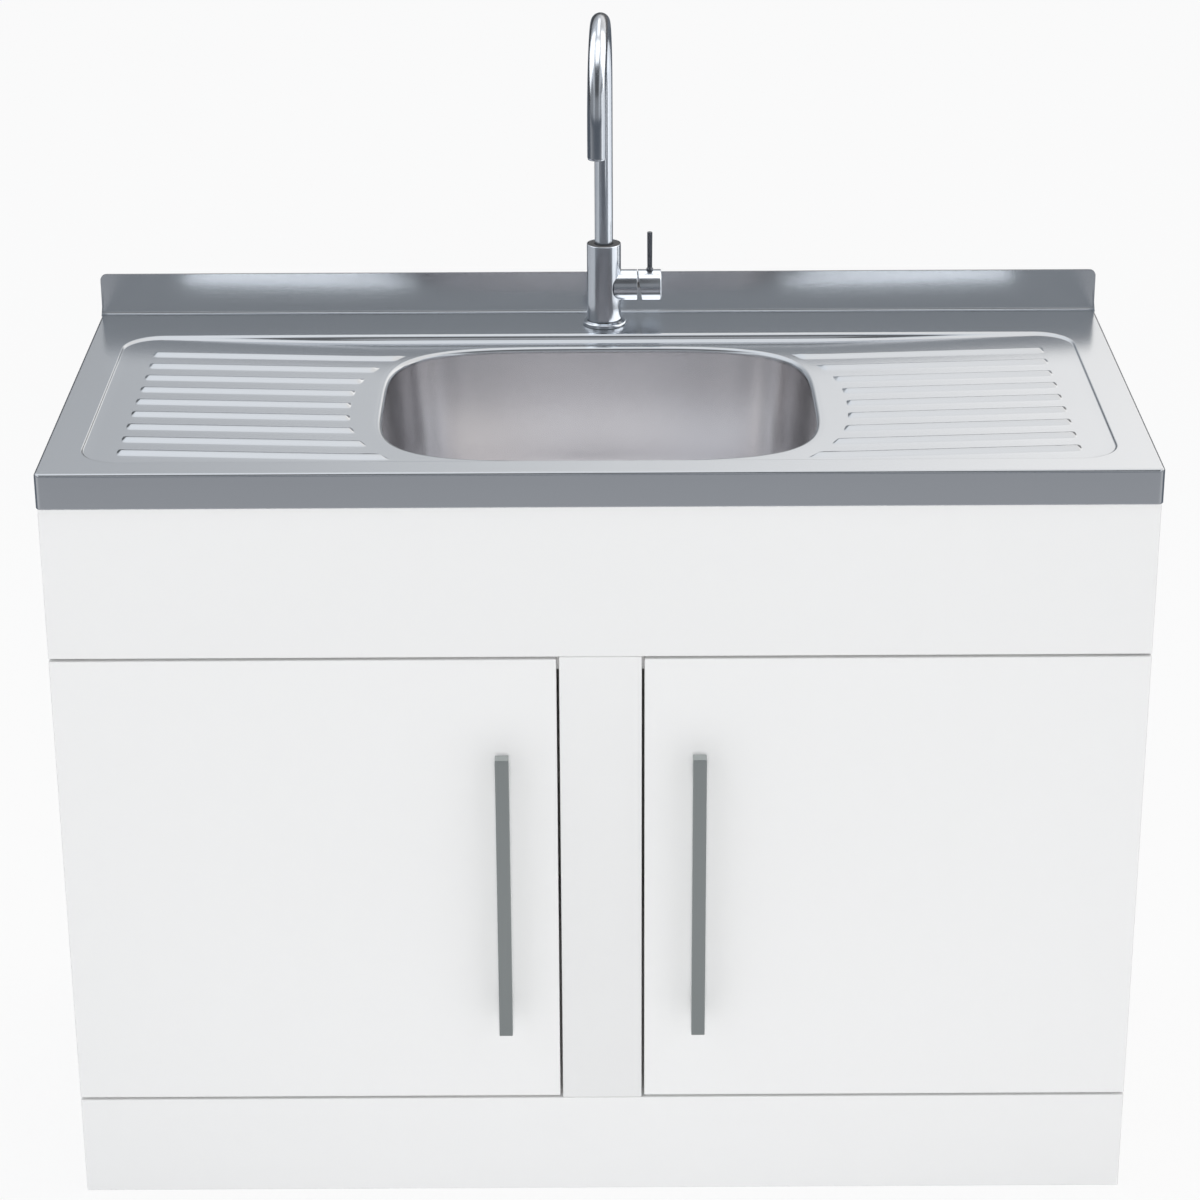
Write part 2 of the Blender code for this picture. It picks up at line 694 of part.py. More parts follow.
def make_handle(side, word, pivot):
    """A square bar on two round posts."""
    front = FACE_Y - HANDLE_REACH
    foot = HANDLE_TOP_Z - HANDLE_LENGTH
    middle = side * HANDLE_X
    low = (middle - HANDLE_BAR / 2, front, foot)
    high = (middle + HANDLE_BAR / 2, front + HANDLE_BAR, HANDLE_TOP_Z)
    block(f"handle_bar_{word}", low, high, bar_steel, pivot, HANDLE_EASE)
    length = HANDLE_REACH - HANDLE_BAR - 2 * FIT
    for end, away in (("upper", 0.5), ("lower", -0.5)):
        height = (HANDLE_TOP_Z + foot) / 2 + away * HANDLE_SPACING
        place = (middle, FACE_Y - FIT, height)
        keep(f"handle_post_{word}_{end}", rod(POST_RADIUS, -length, 0), bar_steel, place, pivot, ALONG_Y)


def make_catch(side, word, pivot):
    """A magnetic catch under the front rail and its strike plate on the door's back."""
    middle = side * (DOOR_FREE_X + CATCH_INSET)
    strike_front = DOOR_BACK_Y + FIT
    catch_front = strike_front + STRIKE_SIZE.y + FIT
    top = RAIL_FOOT_Z - FIT
    height = top - CATCH_SIZE.z / 2
    place = Vector((middle, strike_front + STRIKE_SIZE.y / 2, height))
    block(f"strike_plate_{word}", place - STRIKE_SIZE / 2, place + STRIKE_SIZE / 2, zinc_steel, pivot, 0)
    place = Vector((middle, catch_front + CATCH_SIZE.y / 2, height))
    block(f"magnetic_catch_{word}", place - CATCH_SIZE / 2, place + CATCH_SIZE / 2, white_plastic)


# Waste

def make_strainer():
    """Strainer body in the bowl's floor, held from below by a gasket and a nut."""
    place = (0, BOWL_Y, SEAT_Z)
    inner = STRAINER_RADIUS - STRAINER_WALL
    neck_bore = TAILPIECE_RADIUS + FIT
    floor = STRAINER_WALL - STRAINER_DEPTH
    foot = -STRAINER_DEPTH - NECK_LENGTH
    body = turned([
        (STRAINER_FLANGE_RADIUS, FIT), (STRAINER_FLANGE_RADIUS, STRAINER_FLANGE),
        (inner, STRAINER_FLANGE), (inner, floor), (neck_bore, floor), (neck_bore, foot),
        (NECK_RADIUS, foot), (NECK_RADIUS, -STRAINER_DEPTH),
        (STRAINER_RADIUS, -STRAINER_DEPTH), (STRAINER_RADIUS, FIT),
    ])
    keep("strainer_body", body, stainless, place)
    bore = STRAINER_RADIUS + FIT
    gasket_top = -SHEET - FIT
    nut_top = gasket_top - GASKET - FIT
    ring = ring_shape(GASKET_RADIUS, bore, gasket_top - GASKET, gasket_top)
    keep("strainer_gasket", ring, black_rubber, place)
    ring = ring_shape(STRAINER_NUT_RADIUS, bore, nut_top - STRAINER_NUT_HEIGHT, nut_top)
    keep("strainer_nut", ring, white_plastic, place)


def make_basket():
    """The lift-out basket: a thin cup with a slotted floor and a knob, hung by its rim."""
    rim_z = STRAINER_FLANGE + FIT
    top_z = rim_z + BASKET_RIM
    wall_radius = STRAINER_RADIUS - STRAINER_WALL - BASKET_GAP
    floor_z = rim_z - BASKET_DEPTH
    floor_top = floor_z + BASKET_WALL
    below = [(BASKET_RIM_RADIUS, rim_z), (wall_radius, rim_z), (BASKET_FLOOR_RADIUS, floor_z)]
    above = [(BASKET_RIM_RADIUS, top_z), (wall_radius - BASKET_WALL, top_z)]
    above.append((BASKET_FLOOR_RADIUS - BASKET_WALL, floor_top))
    for radius in (BASKET_SLOT_OUTER, BASKET_SLOT_INNER, KNOB_RADIUS):
        below.append((radius, floor_z))
        above.append((radius, floor_top))
    sides = 2 * BASKET_SLOTS
    shape = bmesh.new()
    under = [[shape.verts.new(p) for p in circle(r, z, sides)] for r, z in below]
    over = [[shape.verts.new(p) for p in circle(r, z, sides)] for r, z in above]
    slot_band = below.index((BASKET_SLOT_OUTER, floor_z))
    for k in range(sides):
        n = (k + 1) % sides
        shape.faces.new((under[0][k], under[0][n], over[0][n], over[0][k]))
        for band in range(len(below) - 1):
            if band == slot_band and k % 2 == 0:
                frame = [(band, k), (band, n), (band + 1, n), (band + 1, k)]
                for one, two in zip(frame, frame[1:] + frame[:1]):
                    lower = (under[one[0]][one[1]], under[two[0]][two[1]])
                    upper = (over[two[0]][two[1]], over[one[0]][one[1]])
                    shape.faces.new((*lower, *upper))
                continue
            for face in (under, over):
                corners = (face[band][k], face[band][n], face[band + 1][n], face[band + 1][k])
                shape.faces.new(corners)
    shape.faces.new(under[-1])
    knob = [shape.verts.new(p) for p in circle(KNOB_RADIUS, floor_top + KNOB_HEIGHT, sides)]
    for k in range(sides):
        n = (k + 1) % sides
        shape.faces.new((over[-1][k], over[-1][n], knob[n], knob[k]))
    shape.faces.new(knob)
    keep("strainer_basket", shape, stainless, (0, BOWL_Y, SEAT_Z), None, (0, 0, BASKET_TURN))


def make_trap():
    """Tailpiece, bottle trap and the pipe to the wall."""
    place = (0, BOWL_Y, 0)
    dip_z = CUP_FLOOR_Z + DIP_CLEARANCE
    top = NECK_FOOT_Z + TAILPIECE_LAP
    tube = ring_shape(TAILPIECE_RADIUS, TAILPIECE_RADIUS - TAILPIECE_WALL, dip_z, top, SMALL_SIDES)
    keep("tailpiece", tube, white_plastic, place)
    bore = TAILPIECE_RADIUS + FIT
    nut_foot = TRAP_TOP_Z + FIT
    nut = ring_shape(TRAP_NUT_RADIUS, bore, nut_foot, nut_foot + TRAP_NUT_HEIGHT, SMALL_SIDES)
    keep("trap_nut", nut, white_plastic, place)
    make_trap_head(place, bore)
    head_foot = TRAP_TOP_Z - TRAP_HEIGHT
    outer = TRAP_RADIUS + FIT + TRAP_WALL
    shoulder = head_foot - FIT
    inner = TRAP_RADIUS - TRAP_WALL
    shape = bmesh.new()
    outline = [
        (outer, CUP_FLOOR_Z - TRAP_WALL), (outer, CUP_TOP_Z), (TRAP_RADIUS + FIT, CUP_TOP_Z),
        (TRAP_RADIUS + FIT, shoulder), (inner, shoulder), (inner, CUP_FLOOR_Z),
    ]
    rings = skin(shape, [circle(radius, height, SMALL_SIDES) for radius, height in outline])
    shape.faces.new(rings[0])
    shape.faces.new(rings[-1])
    keep("trap_cup", shape, white_plastic, place)
    make_waste_pipe()


def make_trap_head(place, bore):
    """The head: an upright shell, open below, with an outlet to the back."""
    inner = TRAP_RADIUS - TRAP_WALL
    foot = TRAP_TOP_Z - TRAP_HEIGHT
    ceiling = TRAP_TOP_Z - TRAP_WALL
    shell = turned([
        (TRAP_RADIUS, foot), (TRAP_RADIUS, TRAP_TOP_Z), (bore, TRAP_TOP_Z),
        (bore, ceiling), (inner, ceiling), (inner, foot),
    ], SMALL_SIDES)
    head = keep("trap_head", shell, white_plastic, place)
    wall_middle = TRAP_RADIUS - TRAP_WALL / 2
    outlet_place = (0, BOWL_Y, OUTLET_Z)
    stub = rod(OUTLET_RADIUS, wall_middle, OUTLET_REACH)
    combine(head, tool("trap_outlet", stub, outlet_place, ALONG_Y), "UNION")
    cut = rod(OUTLET_BORE, TRAP_RADIUS / 2, OUTLET_REACH + OVERCUT)
    combine(head, tool("trap_outlet_bore", cut, outlet_place, ALONG_Y), "DIFFERENCE")


def make_waste_pipe():
    """The pipe from the trap's outlet to the wall, and the nut that seals it."""
    place = (0, BOWL_Y, OUTLET_Z)
    radius = OUTLET_BORE - FIT
    start = OUTLET_REACH - PIPE_LAP
    end = BACK_Y - BOWL_Y - FIT
    pipe = ring_shape(radius, radius - PIPE_WALL, start, end, SMALL_SIDES)
    keep("waste_pipe", pipe, white_plastic, place, None, ALONG_Y)
    nut_start = OUTLET_REACH + FIT
    nut = ring_shape(TRAP_NUT_RADIUS, OUTLET_BORE, nut_start, nut_start + TRAP_NUT_HEIGHT, SMALL_SIDES)
    keep("outlet_nut", nut, white_plastic, place, None, ALONG_Y)


# Tap

def make_tap_base():
    """What clamps the tap to the top: gasket and flange above, plate and nut below."""
    place = (TAP_X, TAP_Y, COUNTER_Z)
    bore = SHANK_RADIUS + FIT
    gasket = ring_shape(TAP_BODY_RADIUS, bore, FIT, FIT + TAP_GASKET)
    keep("tap_gasket", gasket, black_rubber, place)
    foot = FLANGE_FOOT_Z - COUNTER_Z
    top = foot + TAP_FLANGE_HEIGHT
    flange = turned([
        (TAP_FLANGE_RADIUS, foot), (TAP_FLANGE_RADIUS, top - CAP_EASE),
        (TAP_FLANGE_RADIUS - CAP_EASE, top), (bore, top), (bore, foot),
    ], 2 * SMALL_SIDES)
    keep("tap_flange", flange, bright_chrome, place)
    shank_top = BODY_FOOT_Z - COUNTER_Z - FIT
    shank = ring_shape(SHANK_RADIUS, SHANK_BORE, -SHANK_LENGTH, shank_top, SMALL_SIDES)
    keep("tap_shank", shank, yellow_brass, place)
    clamp_top = -SHEET - FIT
    clamp = ring_shape(CLAMP_RADIUS, bore, clamp_top - CLAMP, clamp_top, SMALL_SIDES)
    keep("tap_clamp_plate", clamp, zinc_steel, place)
    nut_top = clamp_top - CLAMP - FIT
    nut = ring_shape(LOCKNUT_RADIUS, bore, nut_top - LOCKNUT_HEIGHT, nut_top, SMALL_SIDES)
    keep("tap_locknut", nut, yellow_brass, place)
    for word, side in (("hot", -1), ("cold", 1)):
        inlet_top = INLET_LAP - SHANK_LENGTH
        inlet_bore = INLET_RADIUS - INLET_WALL
        inlet = ring_shape(INLET_RADIUS, inlet_bore, inlet_top - INLET_LENGTH, inlet_top, SMALL_SIDES)
        at = (TAP_X + side * INLET_SPREAD, TAP_Y, COUNTER_Z)
        keep(f"tap_inlet_{word}", inlet, yellow_brass, at)


def make_tap_body():
    """The upright body with its side barrel, bored for the spout, the water and the cartridge."""
    foot = BODY_FOOT_Z - COUNTER_Z
    profile = [
        (TAP_BODY_RADIUS, foot), (TAP_BODY_RADIUS, TAP_BODY_TOP - CAP_EASE),
        (TAP_BODY_RADIUS - CAP_EASE, TAP_BODY_TOP),
    ]
    place = (TAP_X, TAP_Y, COUNTER_Z)
    middle = (TAP_X, TAP_Y, BARREL_Z)
    body = keep("tap_body", spun(profile, 2 * SMALL_SIDES), bright_chrome, place)
    barrel = rod(BARREL_RADIUS, 0, BARREL_END, 2 * SMALL_SIDES)
    combine(body, tool("side_barrel", barrel, middle, ALONG_X), "UNION")
    bore = rod(CARTRIDGE_RADIUS, CARTRIDGE_START, BARREL_END + OVERCUT, SIDES)
    combine(body, tool("barrel_bore", bore, middle, ALONG_X), "DIFFERENCE")
    spout_bore = rod(BUSH_RADIUS, TAP_BODY_TOP - SPOUT_FOOT - FIT, TAP_BODY_TOP + OVERCUT, SIDES)
    combine(body, tool("spout_bore", spout_bore, place), "DIFFERENCE")
    water_top = BARREL_HEIGHT - BARREL_RADIUS - CAP_WALL
    water = rod(SHANK_BORE, foot - OVERCUT, water_top)
    combine(body, tool("water_way", water, place), "DIFFERENCE")


def make_cartridge():
    """The mixing cartridge in the barrel, its nut, and the rotor that the lever turns."""
    middle = (TAP_X, TAP_Y, BARREL_Z)
    radius = CARTRIDGE_RADIUS - FIT
    back = CARTRIDGE_START + FIT
    face = CARTRIDGE_START + CARTRIDGE_LENGTH
    recess = ROTOR_RADIUS + RUNNING_GAP + FIT
    recess_floor = face - CARTRIDGE_RECESS
    profile = [(radius, back), (radius, face), (recess, face), (recess, recess_floor)]
    keep("cartridge", spun(profile, SMALL_SIDES), white_plastic, middle, None, ALONG_X)
    nut = ring_shape(radius, CARTRIDGE_NUT_BORE, face + FIT, BARREL_END - FIT, SMALL_SIDES)
    keep("cartridge_nut", nut, yellow_brass, middle, None, ALONG_X)
    turn_axis = axis_mark("handle_turn_axis", middle)
    start = recess_floor + FIT
    rotor = rod(ROTOR_RADIUS, start, start + ROTOR_LENGTH)
    keep("cartridge_rotor", rotor, dark_plastic, middle, turn_axis, ALONG_X)


def make_lever():
    """The handle cap with its slanted rim, the pin that is gripped and the spindle inside."""
    tilt_axis = axis_mark("handle_tilt_axis", (TAP_X + TILT_AT, TAP_Y, BARREL_Z))
    middle = (TAP_X, TAP_Y, BARREL_Z)
    cavity = CAP_END - CAP_FACE
    bore = BARREL_RADIUS - CAP_WALL
    profile = [
        (bore, cavity), (bore, BARREL_END), (BARREL_RADIUS, BARREL_END),
        (BARREL_RADIUS, CAP_END - CAP_EASE), (BARREL_RADIUS - CAP_EASE, CAP_END),
    ]
    cap = keep("handle_cap", spun(profile, 2 * SMALL_SIDES), bright_chrome, middle, tilt_axis, ALONG_X)
    combine(cap, tool("cap_slant", slant_shape(), middle), "DIFFERENCE")
    socket = rod(LEVER_RADIUS + FIT, 0, BARREL_RADIUS + OVERCUT)
    lever_place = (TAP_X + LEVER_AT, TAP_Y, BARREL_Z)
    combine(cap, tool("lever_socket", socket, lever_place), "DIFFERENCE")
    top = LEVER_TOP - BARREL_HEIGHT
    pin = spun([
        (LEVER_RADIUS, bore), (LEVER_RADIUS, top - CAP_EASE / 2), (LEVER_RADIUS - CAP_EASE / 2, top),
    ], SMALL_SIDES)
    keep("lever_pin", pin, bright_chrome, lever_place, tilt_axis)
    spindle = rod(SPINDLE_RADIUS, SPINDLE_START, cavity - FIT)
    keep("spindle", spindle, zinc_steel, middle, tilt_axis, ALONG_X)


def slant_shape():
    """The wedge in front of the cap's rim: thin at the top, wide at the foot."""
    high = BARREL_RADIUS + OVERCUT
    slope = (CAP_FOOT_GAP - CAP_TOP_GAP) / (2 * BARREL_RADIUS)
    middle_gap = (CAP_FOOT_GAP + CAP_TOP_GAP) / 2
    start = BARREL_END - OVERCUT
    top_x = BARREL_END + middle_gap - slope * high
    foot_x = BARREL_END + middle_gap + slope * high
    outline = [(start, -high), (foot_x, -high), (top_x, high), (start, high)]
    shape = bmesh.new()
    rings = skin(shape, [[(x, y, z) for x, z in outline] for y in (-high, high)])
    shape.faces.new(rings[0])
    shape.faces.new(rings[-1])
    return shape


def spout_path():
    """Middle line of the gooseneck in its own plane: (forward, up, direction of travel)."""
    path = [(0.0, TAP_BODY_TOP - SPOUT_FOOT, 0.0)]
    for k in range(BEND_STEPS + 1):
        turn = math.pi * k / BEND_STEPS
        forward = SPOUT_BEND * (1 - math.cos(turn))
        path.append((forward, SPOUT_BEND_HEIGHT + SPOUT_BEND * math.sin(turn), turn))
    path.append((2 * SPOUT_BEND, SPOUT_BEND_HEIGHT - SPOUT_DROP, math.pi))
    return path


def spout_rings(radius):
    """Rings of one face of the spout's tube, square to its middle line, which runs to the front."""
    rings = []
    for forward, up, turn in spout_path():
        ring = []
        for x, across, _ in circle(radius, 0, SPOUT_SIDES):
            ring.append((x, -forward + across * math.cos(turn), up + across * math.sin(turn)))
        rings.append(ring)
    return rings


def make_spout():
    """The swivelling gooseneck with its aerator, and the bush that it turns in."""
    place = (TAP_X, TAP_Y, COUNTER_Z)
    swivel = axis_mark("spout_axis", place)
    shape = bmesh.new()
    bore = SPOUT_RADIUS - SPOUT_WALL
    skin(shape, spout_rings(SPOUT_RADIUS) + spout_rings(bore)[::-1], wrap=True)
    keep("spout", shape, bright_chrome, place, swivel, (0, 0, SPOUT_TURN))
    reach = 2 * SPOUT_BEND
    outlet = Vector((reach * math.sin(SPOUT_TURN), -reach * math.cos(SPOUT_TURN), 0))
    foot = SPOUT_BEND_HEIGHT - SPOUT_DROP
    lip_top = foot - FIT
    lip_foot = lip_top - AERATOR_LIP
    insert = bore - FIT
    aerator = turned([
        (SPOUT_RADIUS, lip_foot), (SPOUT_RADIUS, lip_top), (insert, lip_top),
        (insert, foot + AERATOR_LENGTH), (AERATOR_BORE, foot + AERATOR_LENGTH), (AERATOR_BORE, lip_foot),
    ], SPOUT_SIDES)
    keep("aerator", aerator, bright_chrome, Vector(place) + outlet, swivel, (0, 0, SPOUT_TURN))
    top = TAP_BODY_TOP - BUSH_RECESS
    bush = ring_shape(BUSH_RADIUS - FIT, SPOUT_RADIUS + RUNNING_GAP + FIT, top - BUSH_HEIGHT, top)
    keep("spout_bush", bush, dark_plastic, place)


def main():
    clear_scene()
    make_sink_top()
    make_bowl()
    make_carcass()
    make_front()
    make_door(-1, "left")
    make_door(1, "right")
    make_strainer()
    make_basket()
    make_trap()
    make_tap_base()
    make_tap_body()
    make_cartridge()
    make_lever()
    make_spout()


main()
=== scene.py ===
"""Looks of the laundry sink cabinet: white boards, a pressed stainless top and a chrome mixer tap.

Metres in the part's frame: +X to the right, +Y to the wall, +Z up from the floor.
"""
import json
import math

import bmesh
import bpy
import numpy as np
from mathutils import Matrix, Vector


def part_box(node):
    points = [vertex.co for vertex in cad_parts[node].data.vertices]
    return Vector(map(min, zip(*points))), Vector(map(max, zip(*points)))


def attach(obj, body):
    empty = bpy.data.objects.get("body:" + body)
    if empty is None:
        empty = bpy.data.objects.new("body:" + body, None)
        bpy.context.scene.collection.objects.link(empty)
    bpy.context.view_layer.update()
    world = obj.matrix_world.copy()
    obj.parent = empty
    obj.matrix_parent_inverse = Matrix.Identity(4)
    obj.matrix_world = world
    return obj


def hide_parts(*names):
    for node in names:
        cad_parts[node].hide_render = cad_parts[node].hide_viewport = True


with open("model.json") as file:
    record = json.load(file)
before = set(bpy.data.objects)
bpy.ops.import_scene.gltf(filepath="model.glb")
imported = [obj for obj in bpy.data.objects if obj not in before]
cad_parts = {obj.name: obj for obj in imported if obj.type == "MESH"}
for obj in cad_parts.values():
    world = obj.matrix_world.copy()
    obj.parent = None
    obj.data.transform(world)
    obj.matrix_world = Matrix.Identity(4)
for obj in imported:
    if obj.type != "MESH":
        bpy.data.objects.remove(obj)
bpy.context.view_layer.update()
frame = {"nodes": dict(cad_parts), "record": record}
SLOTS = {row["node"]: row["material_slot"] for row in frame["record"]["subparts"]}
GROUPS = frame["record"]["behaviour"]["bodies"]
BODIES = {node: body for body, nodes in GROUPS.items() for node in nodes}

TAU = 2 * math.pi
SHEET = 0.001

# Sink top
TOP_LOW, TOP_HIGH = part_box("sink_top")
HALF_TOP = TOP_HIGH.x
APRON_Y = TOP_LOW.y
BACK_Y = TOP_HIGH.y
APRON_FOOT = TOP_LOW.z
SPLASH_TOP = TOP_HIGH.z
COUNTER = SPLASH_TOP - 0.050
APRON_CORNER = 0.007
APRON_ROLL = 0.003
APRON_HEM = 0.0012
APRON_BACK = BACK_Y - 0.0005
RETURN_WIDTH = 0.024
SPLASH_SHEET = 0.0016
SPLASH_CORNER = 0.008
SPLASH_FOLD = 0.0026
SPLASH_HEM = 0.0007
SPLASH_FOOT = 0.009
SPLASH_UNDER = 0.0004
SPLASH_LAP = 0.024
LAP_SHEET = 0.0006
HAIR = 0.00003  # between the sheet and what is laid on it

# Drainers
RECESS_HALF = 0.560
RECESS_FRONT = APRON_Y + 0.0355
RECESS_BACK = BACK_Y - 0.086
RECESS_CORNER = 0.045
RECESS_STEP = 0.0032
BACK_STEP = 0.011
RECESS_DEPTH = 0.0015
RECESS_FALL = 0.0075
FALL_LENGTH = 0.300
FALL_EASE = 0.06
STEEPEST = math.radians(80)
RIB_COUNT = 9
RIB_PITCH = 0.0414
RIB_SHIFT = -0.012
RIB_WIDTH = 0.022
RIB_HEIGHT = 0.003
RIB_RUNOUT = 0.006
RIB_OUTER_END = 0.521
RIB_CURVE = (0.278, 0.255, 2.4)  # half length, half depth and power

# Bowl
BOWL_Y = (RECESS_FRONT + RECESS_BACK) / 2
BOWL_HALF = (0.242, 0.189)
BOWL_POWER = 4.0
RIM = COUNTER - 0.0090
RIM_ROLL = 0.0048
RIM_SURROUND = 0.010
LIP = RIM - RIM_ROLL - 0.0008
BOWL_FLOOR = COUNTER - 0.1895
BOWL_SEAT = BOWL_FLOOR - 0.005
BOWL_TAPER = 0.010
BOWL_CORNER = 0.050
BOWL_JOINT = 0.0003
FLOOR_FALL = 0.0012
SEAT_RADIUS = 0.060
SEAT_EASE = 0.004
DRAIN_RADIUS = 0.0465
DRAIN = (0, BOWL_Y, BOWL_SEAT)

# Waste
STRAINER_RADIUS = 0.0440
STRAINER_WALL = 0.0015
STRAINER_DEPTH = 0.050
STRAINER_FOOT = -0.080
STRAINER_FLANGE = 0.056
NECK_RADIUS = 0.0195
NECK_BORE = 0.0165
BASKET_RIM = 0.0023
BASKET_RADIUS = 0.047
BASKET_DEPTH = 0.030
BASKET_SHEET = 0.0012
BASKET_FLOOR = 0.031
BASKET_HUB = 0.013
BASKET_BARS = 10
BASKET_TURN = math.radians(5)
BAR_LAP = 0.0008
KNOB_HEIGHT = 0.022
TAIL_RADIUS = 0.0162
TAIL_BORE = 0.0146
NUT_PLAY = 0.0003
NUT_RIB = 0.0012
RIB_SIDES = 12
TRAP_RADIUS = 0.0270
TRAP_WALL = 0.0025
TRAP_MOUTH = 0.0165
CUP_RADIUS = 0.0298
CUP_BODY = 0.0278
CUP_SOCKET = 0.0273
CUP_SOCKET_DEPTH = 0.0143
CUP_FLOOR = 0.0045
CUP_RIBS = 24
CUP_RIB = 0.0010
OUTLET_RADIUS = 0.0190
OUTLET_BORE = 0.0160
OUTLET_WAIST = 0.0182
OUTLET_DROP = 0.023
OUTLET_REACH = 0.050
PIPE_RADIUS = 0.0157
PIPE_BORE = 0.0141

# Tap
BODY_LOW, BODY_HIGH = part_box("tap_body")
TAP_RADIUS = 0.0202
TAP = np.array((BODY_LOW.x + TAP_RADIUS, (BODY_LOW.y + BODY_HIGH.y) / 2, COUNTER))
TAP_HOLE = 0.0168
FLANGE_RADIUS = 0.0252
FLANGE_SHOULDER = 0.0216
SKIRT_BORE = 0.0212
SKIRT_FOOT = 0.0003
BODY_WAIST = TAP_RADIUS - 0.0012
BODY_BORE = 0.0106
BUSH_BORE = 0.0152
BUSH_REBATE = 0.0189
BUSH_RADIUS = 0.0147
BUSH_BRIM = 0.0186
BARREL_RADIUS = 0.0186
BARREL_BORE = 0.0160
BARREL_START = 0.012
BARREL_UP = 0.048
BARREL_END = 0.0395
CAP_END = 0.068
CAP_WALL = 0.0028
CAP_FACE = 0.010
CAP_GAPS = (0.0008, 0.0063)  # at the top and at the foot
LEVER_AT = 0.0545
LEVER_RADIUS = 0.0033
LEVER_COLLAR = 0.0041
LEVER_TOP = 0.1135
SPOUT_RADIUS = 0.01075
SPOUT_BORE = 0.00925
SPOUT_BEND = 0.095
SPOUT_BEND_UP = 0.2895
SPOUT_END = SPOUT_BEND_UP - 0.034
SPOUT_FOOT = 0.074
SPOUT_CHAMFER = (0.0005, 0.0006)  # inwards and along
SPOUT_TURN = math.radians(-2.4)
AERATOR_RADIUS = 0.0103
AERATOR_BORE = 0.0062
AERATOR_NECK = 0.0089
SHANK_RADIUS = 0.0165
SHANK_BORE = 0.0104
SHANK_THREAD = (0.0015, 0.0008)  # pitch and depth
PLATE_RADIUS = 0.0240
HEXAGON_CORNER = 0.0220
HEXAGON_FACE = 0.0195
INLET_RADIUS = 0.0048
INLET_BORE = 0.0034
INLET_THREAD = (0.001, 0.0006)

# Cabinet
BOARD_EDGE = 0.0013
BAR_EDGE = 0.0009
CATCH_EDGE = 0.0015
STRIKE_EDGE = 0.0004
POST_RADIUS = 0.0050
POST_FOOT = 0.0022
POST_FOOT_RADIUS = 0.0062

# Studio
CAMERA_SPOT = (-0.0040, -3.5793, 2.1346)
CAMERA_LENS = 100.39
CAMERA_TURN = (0.39735, 0.00118, -0.00456)  # pitch, yaw and roll
STAGE_HALF = 40
CARD_HEIGHT = 0.004


# Surfaces

def smooth_step(t):
    """3t^2 - 2t^3 between 0 and 1: rises with no slope at either end."""
    t = np.clip(t, 0.0, 1.0)
    return t * t * (3 - 2 * t)


def grid_quads(rows, columns, close_rows, close_columns, start):
    """Quads between neighbours of a grid numbered row by row, as an array of four corners each."""
    a, b = np.meshgrid(
        np.arange(rows if close_rows else rows - 1),
        np.arange(columns if close_columns else columns - 1),
        indexing="ij",
    )
    down = (a + 1) % rows
    right = (b + 1) % columns
    corners = (a * columns + b, a * columns + right, down * columns + right, down * columns + b)
    return np.stack(corners, axis=-1).reshape(-1, 4) + start


def heights(node):
    """Foot and top of a node's box."""
    low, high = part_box(node)
    return low.z, high.z


def new_object(name, data):
    """A new object in the scene."""
    made = bpy.data.objects.new(name, data)
    bpy.context.scene.collection.objects.link(made)
    return made


def piece(name, patches, node, crisp=None, face_up=False):
    """One piece in a node's place, with the node's body, slot and finish, from patches: each a grid
    of points, and whether its rows and columns close.

    Points that meet are merged, the skin is turned to face outwards, or up where it is open, and
    edges sharper than crisp, in degrees, stay sharp."""
    points, quads, count = [], [], 0
    for grid, close_rows, close_columns in patches:
        rows, columns = grid.shape[:2]
        points.append(grid.reshape(-1, 3))
        quads.append(grid_quads(rows, columns, close_rows, close_columns, count))
        count += rows * columns
    mesh = bpy.data.meshes.new(name)
    mesh.from_pydata(np.concatenate(points).tolist(), [], np.concatenate(quads).tolist())
    work = bmesh.new()
    work.from_mesh(mesh)
    bmesh.ops.remove_doubles(work, verts=work.verts, dist=2e-6)
    bmesh.ops.recalc_face_normals(work, faces=work.faces)
    if face_up:
        down = [face for face in work.faces if face.normal.z < 0]
        bmesh.ops.reverse_faces(work, faces=down)
    work.to_mesh(mesh)
    work.free()
    mesh.shade_smooth()
    if crisp:
        mesh.set_sharp_from_angle(angle=math.radians(crisp))
    mesh.materials.append(finish_of(node))
    made = new_object(name, mesh)
    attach(made, BODIES[node])
    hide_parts(node)
    return made


def filleted(corners, steps=5, hold=0.0002):
    """A bent line whose corners, given as (a, b, radius), are rounded by arcs tangent to both sides.

    hold adds a point on the straight parts, that far from each arc, so that flats stay flat."""
    line = []
    spots = np.array([corner[:2] for corner in corners], float)
    radii = [corner[2] for corner in corners]
    for k, (spot, radius) in enumerate(zip(spots, radii)):
        if radius == 0 or k in (0, len(corners) - 1):
            line.append(spot[None])
            continue
        back = spots[k - 1] - spot
        on = spots[k + 1] - spot
        back /= np.linalg.norm(back)
        on /= np.linalg.norm(on)
        half = math.acos(np.clip(back @ on, -1, 1)) / 2
        reach = radius / math.tan(half)
        middle = spot + (back + on) / np.linalg.norm(back + on) * radius / math.sin(half)
        first = spot + back * reach - middle
        last = spot + on * reach - middle
        sweep = math.pi - 2 * half
        t = np.linspace(0, 1, steps + 1)[:, None]
        arc = middle + (np.sin((1 - t) * sweep) * first + np.sin(t * sweep) * last) / math.sin(sweep)
        if hold:
            arc = np.concatenate(((arc[0] + back * hold)[None], arc, (arc[-1] + on * hold)[None]))
        line.append(arc)
    return np.concatenate(line)


def looped(corners, steps=4, hold=0.0002):
    """The same for a closed loop: it starts and ends in the middle of the loop's last side."""
    first = np.array(corners[0][:2], float)
    last = np.array(corners[-1][:2], float)
    middle = (*((first + last) / 2), 0)
    return filleted([middle, *corners, middle], steps, hold)[:-1]


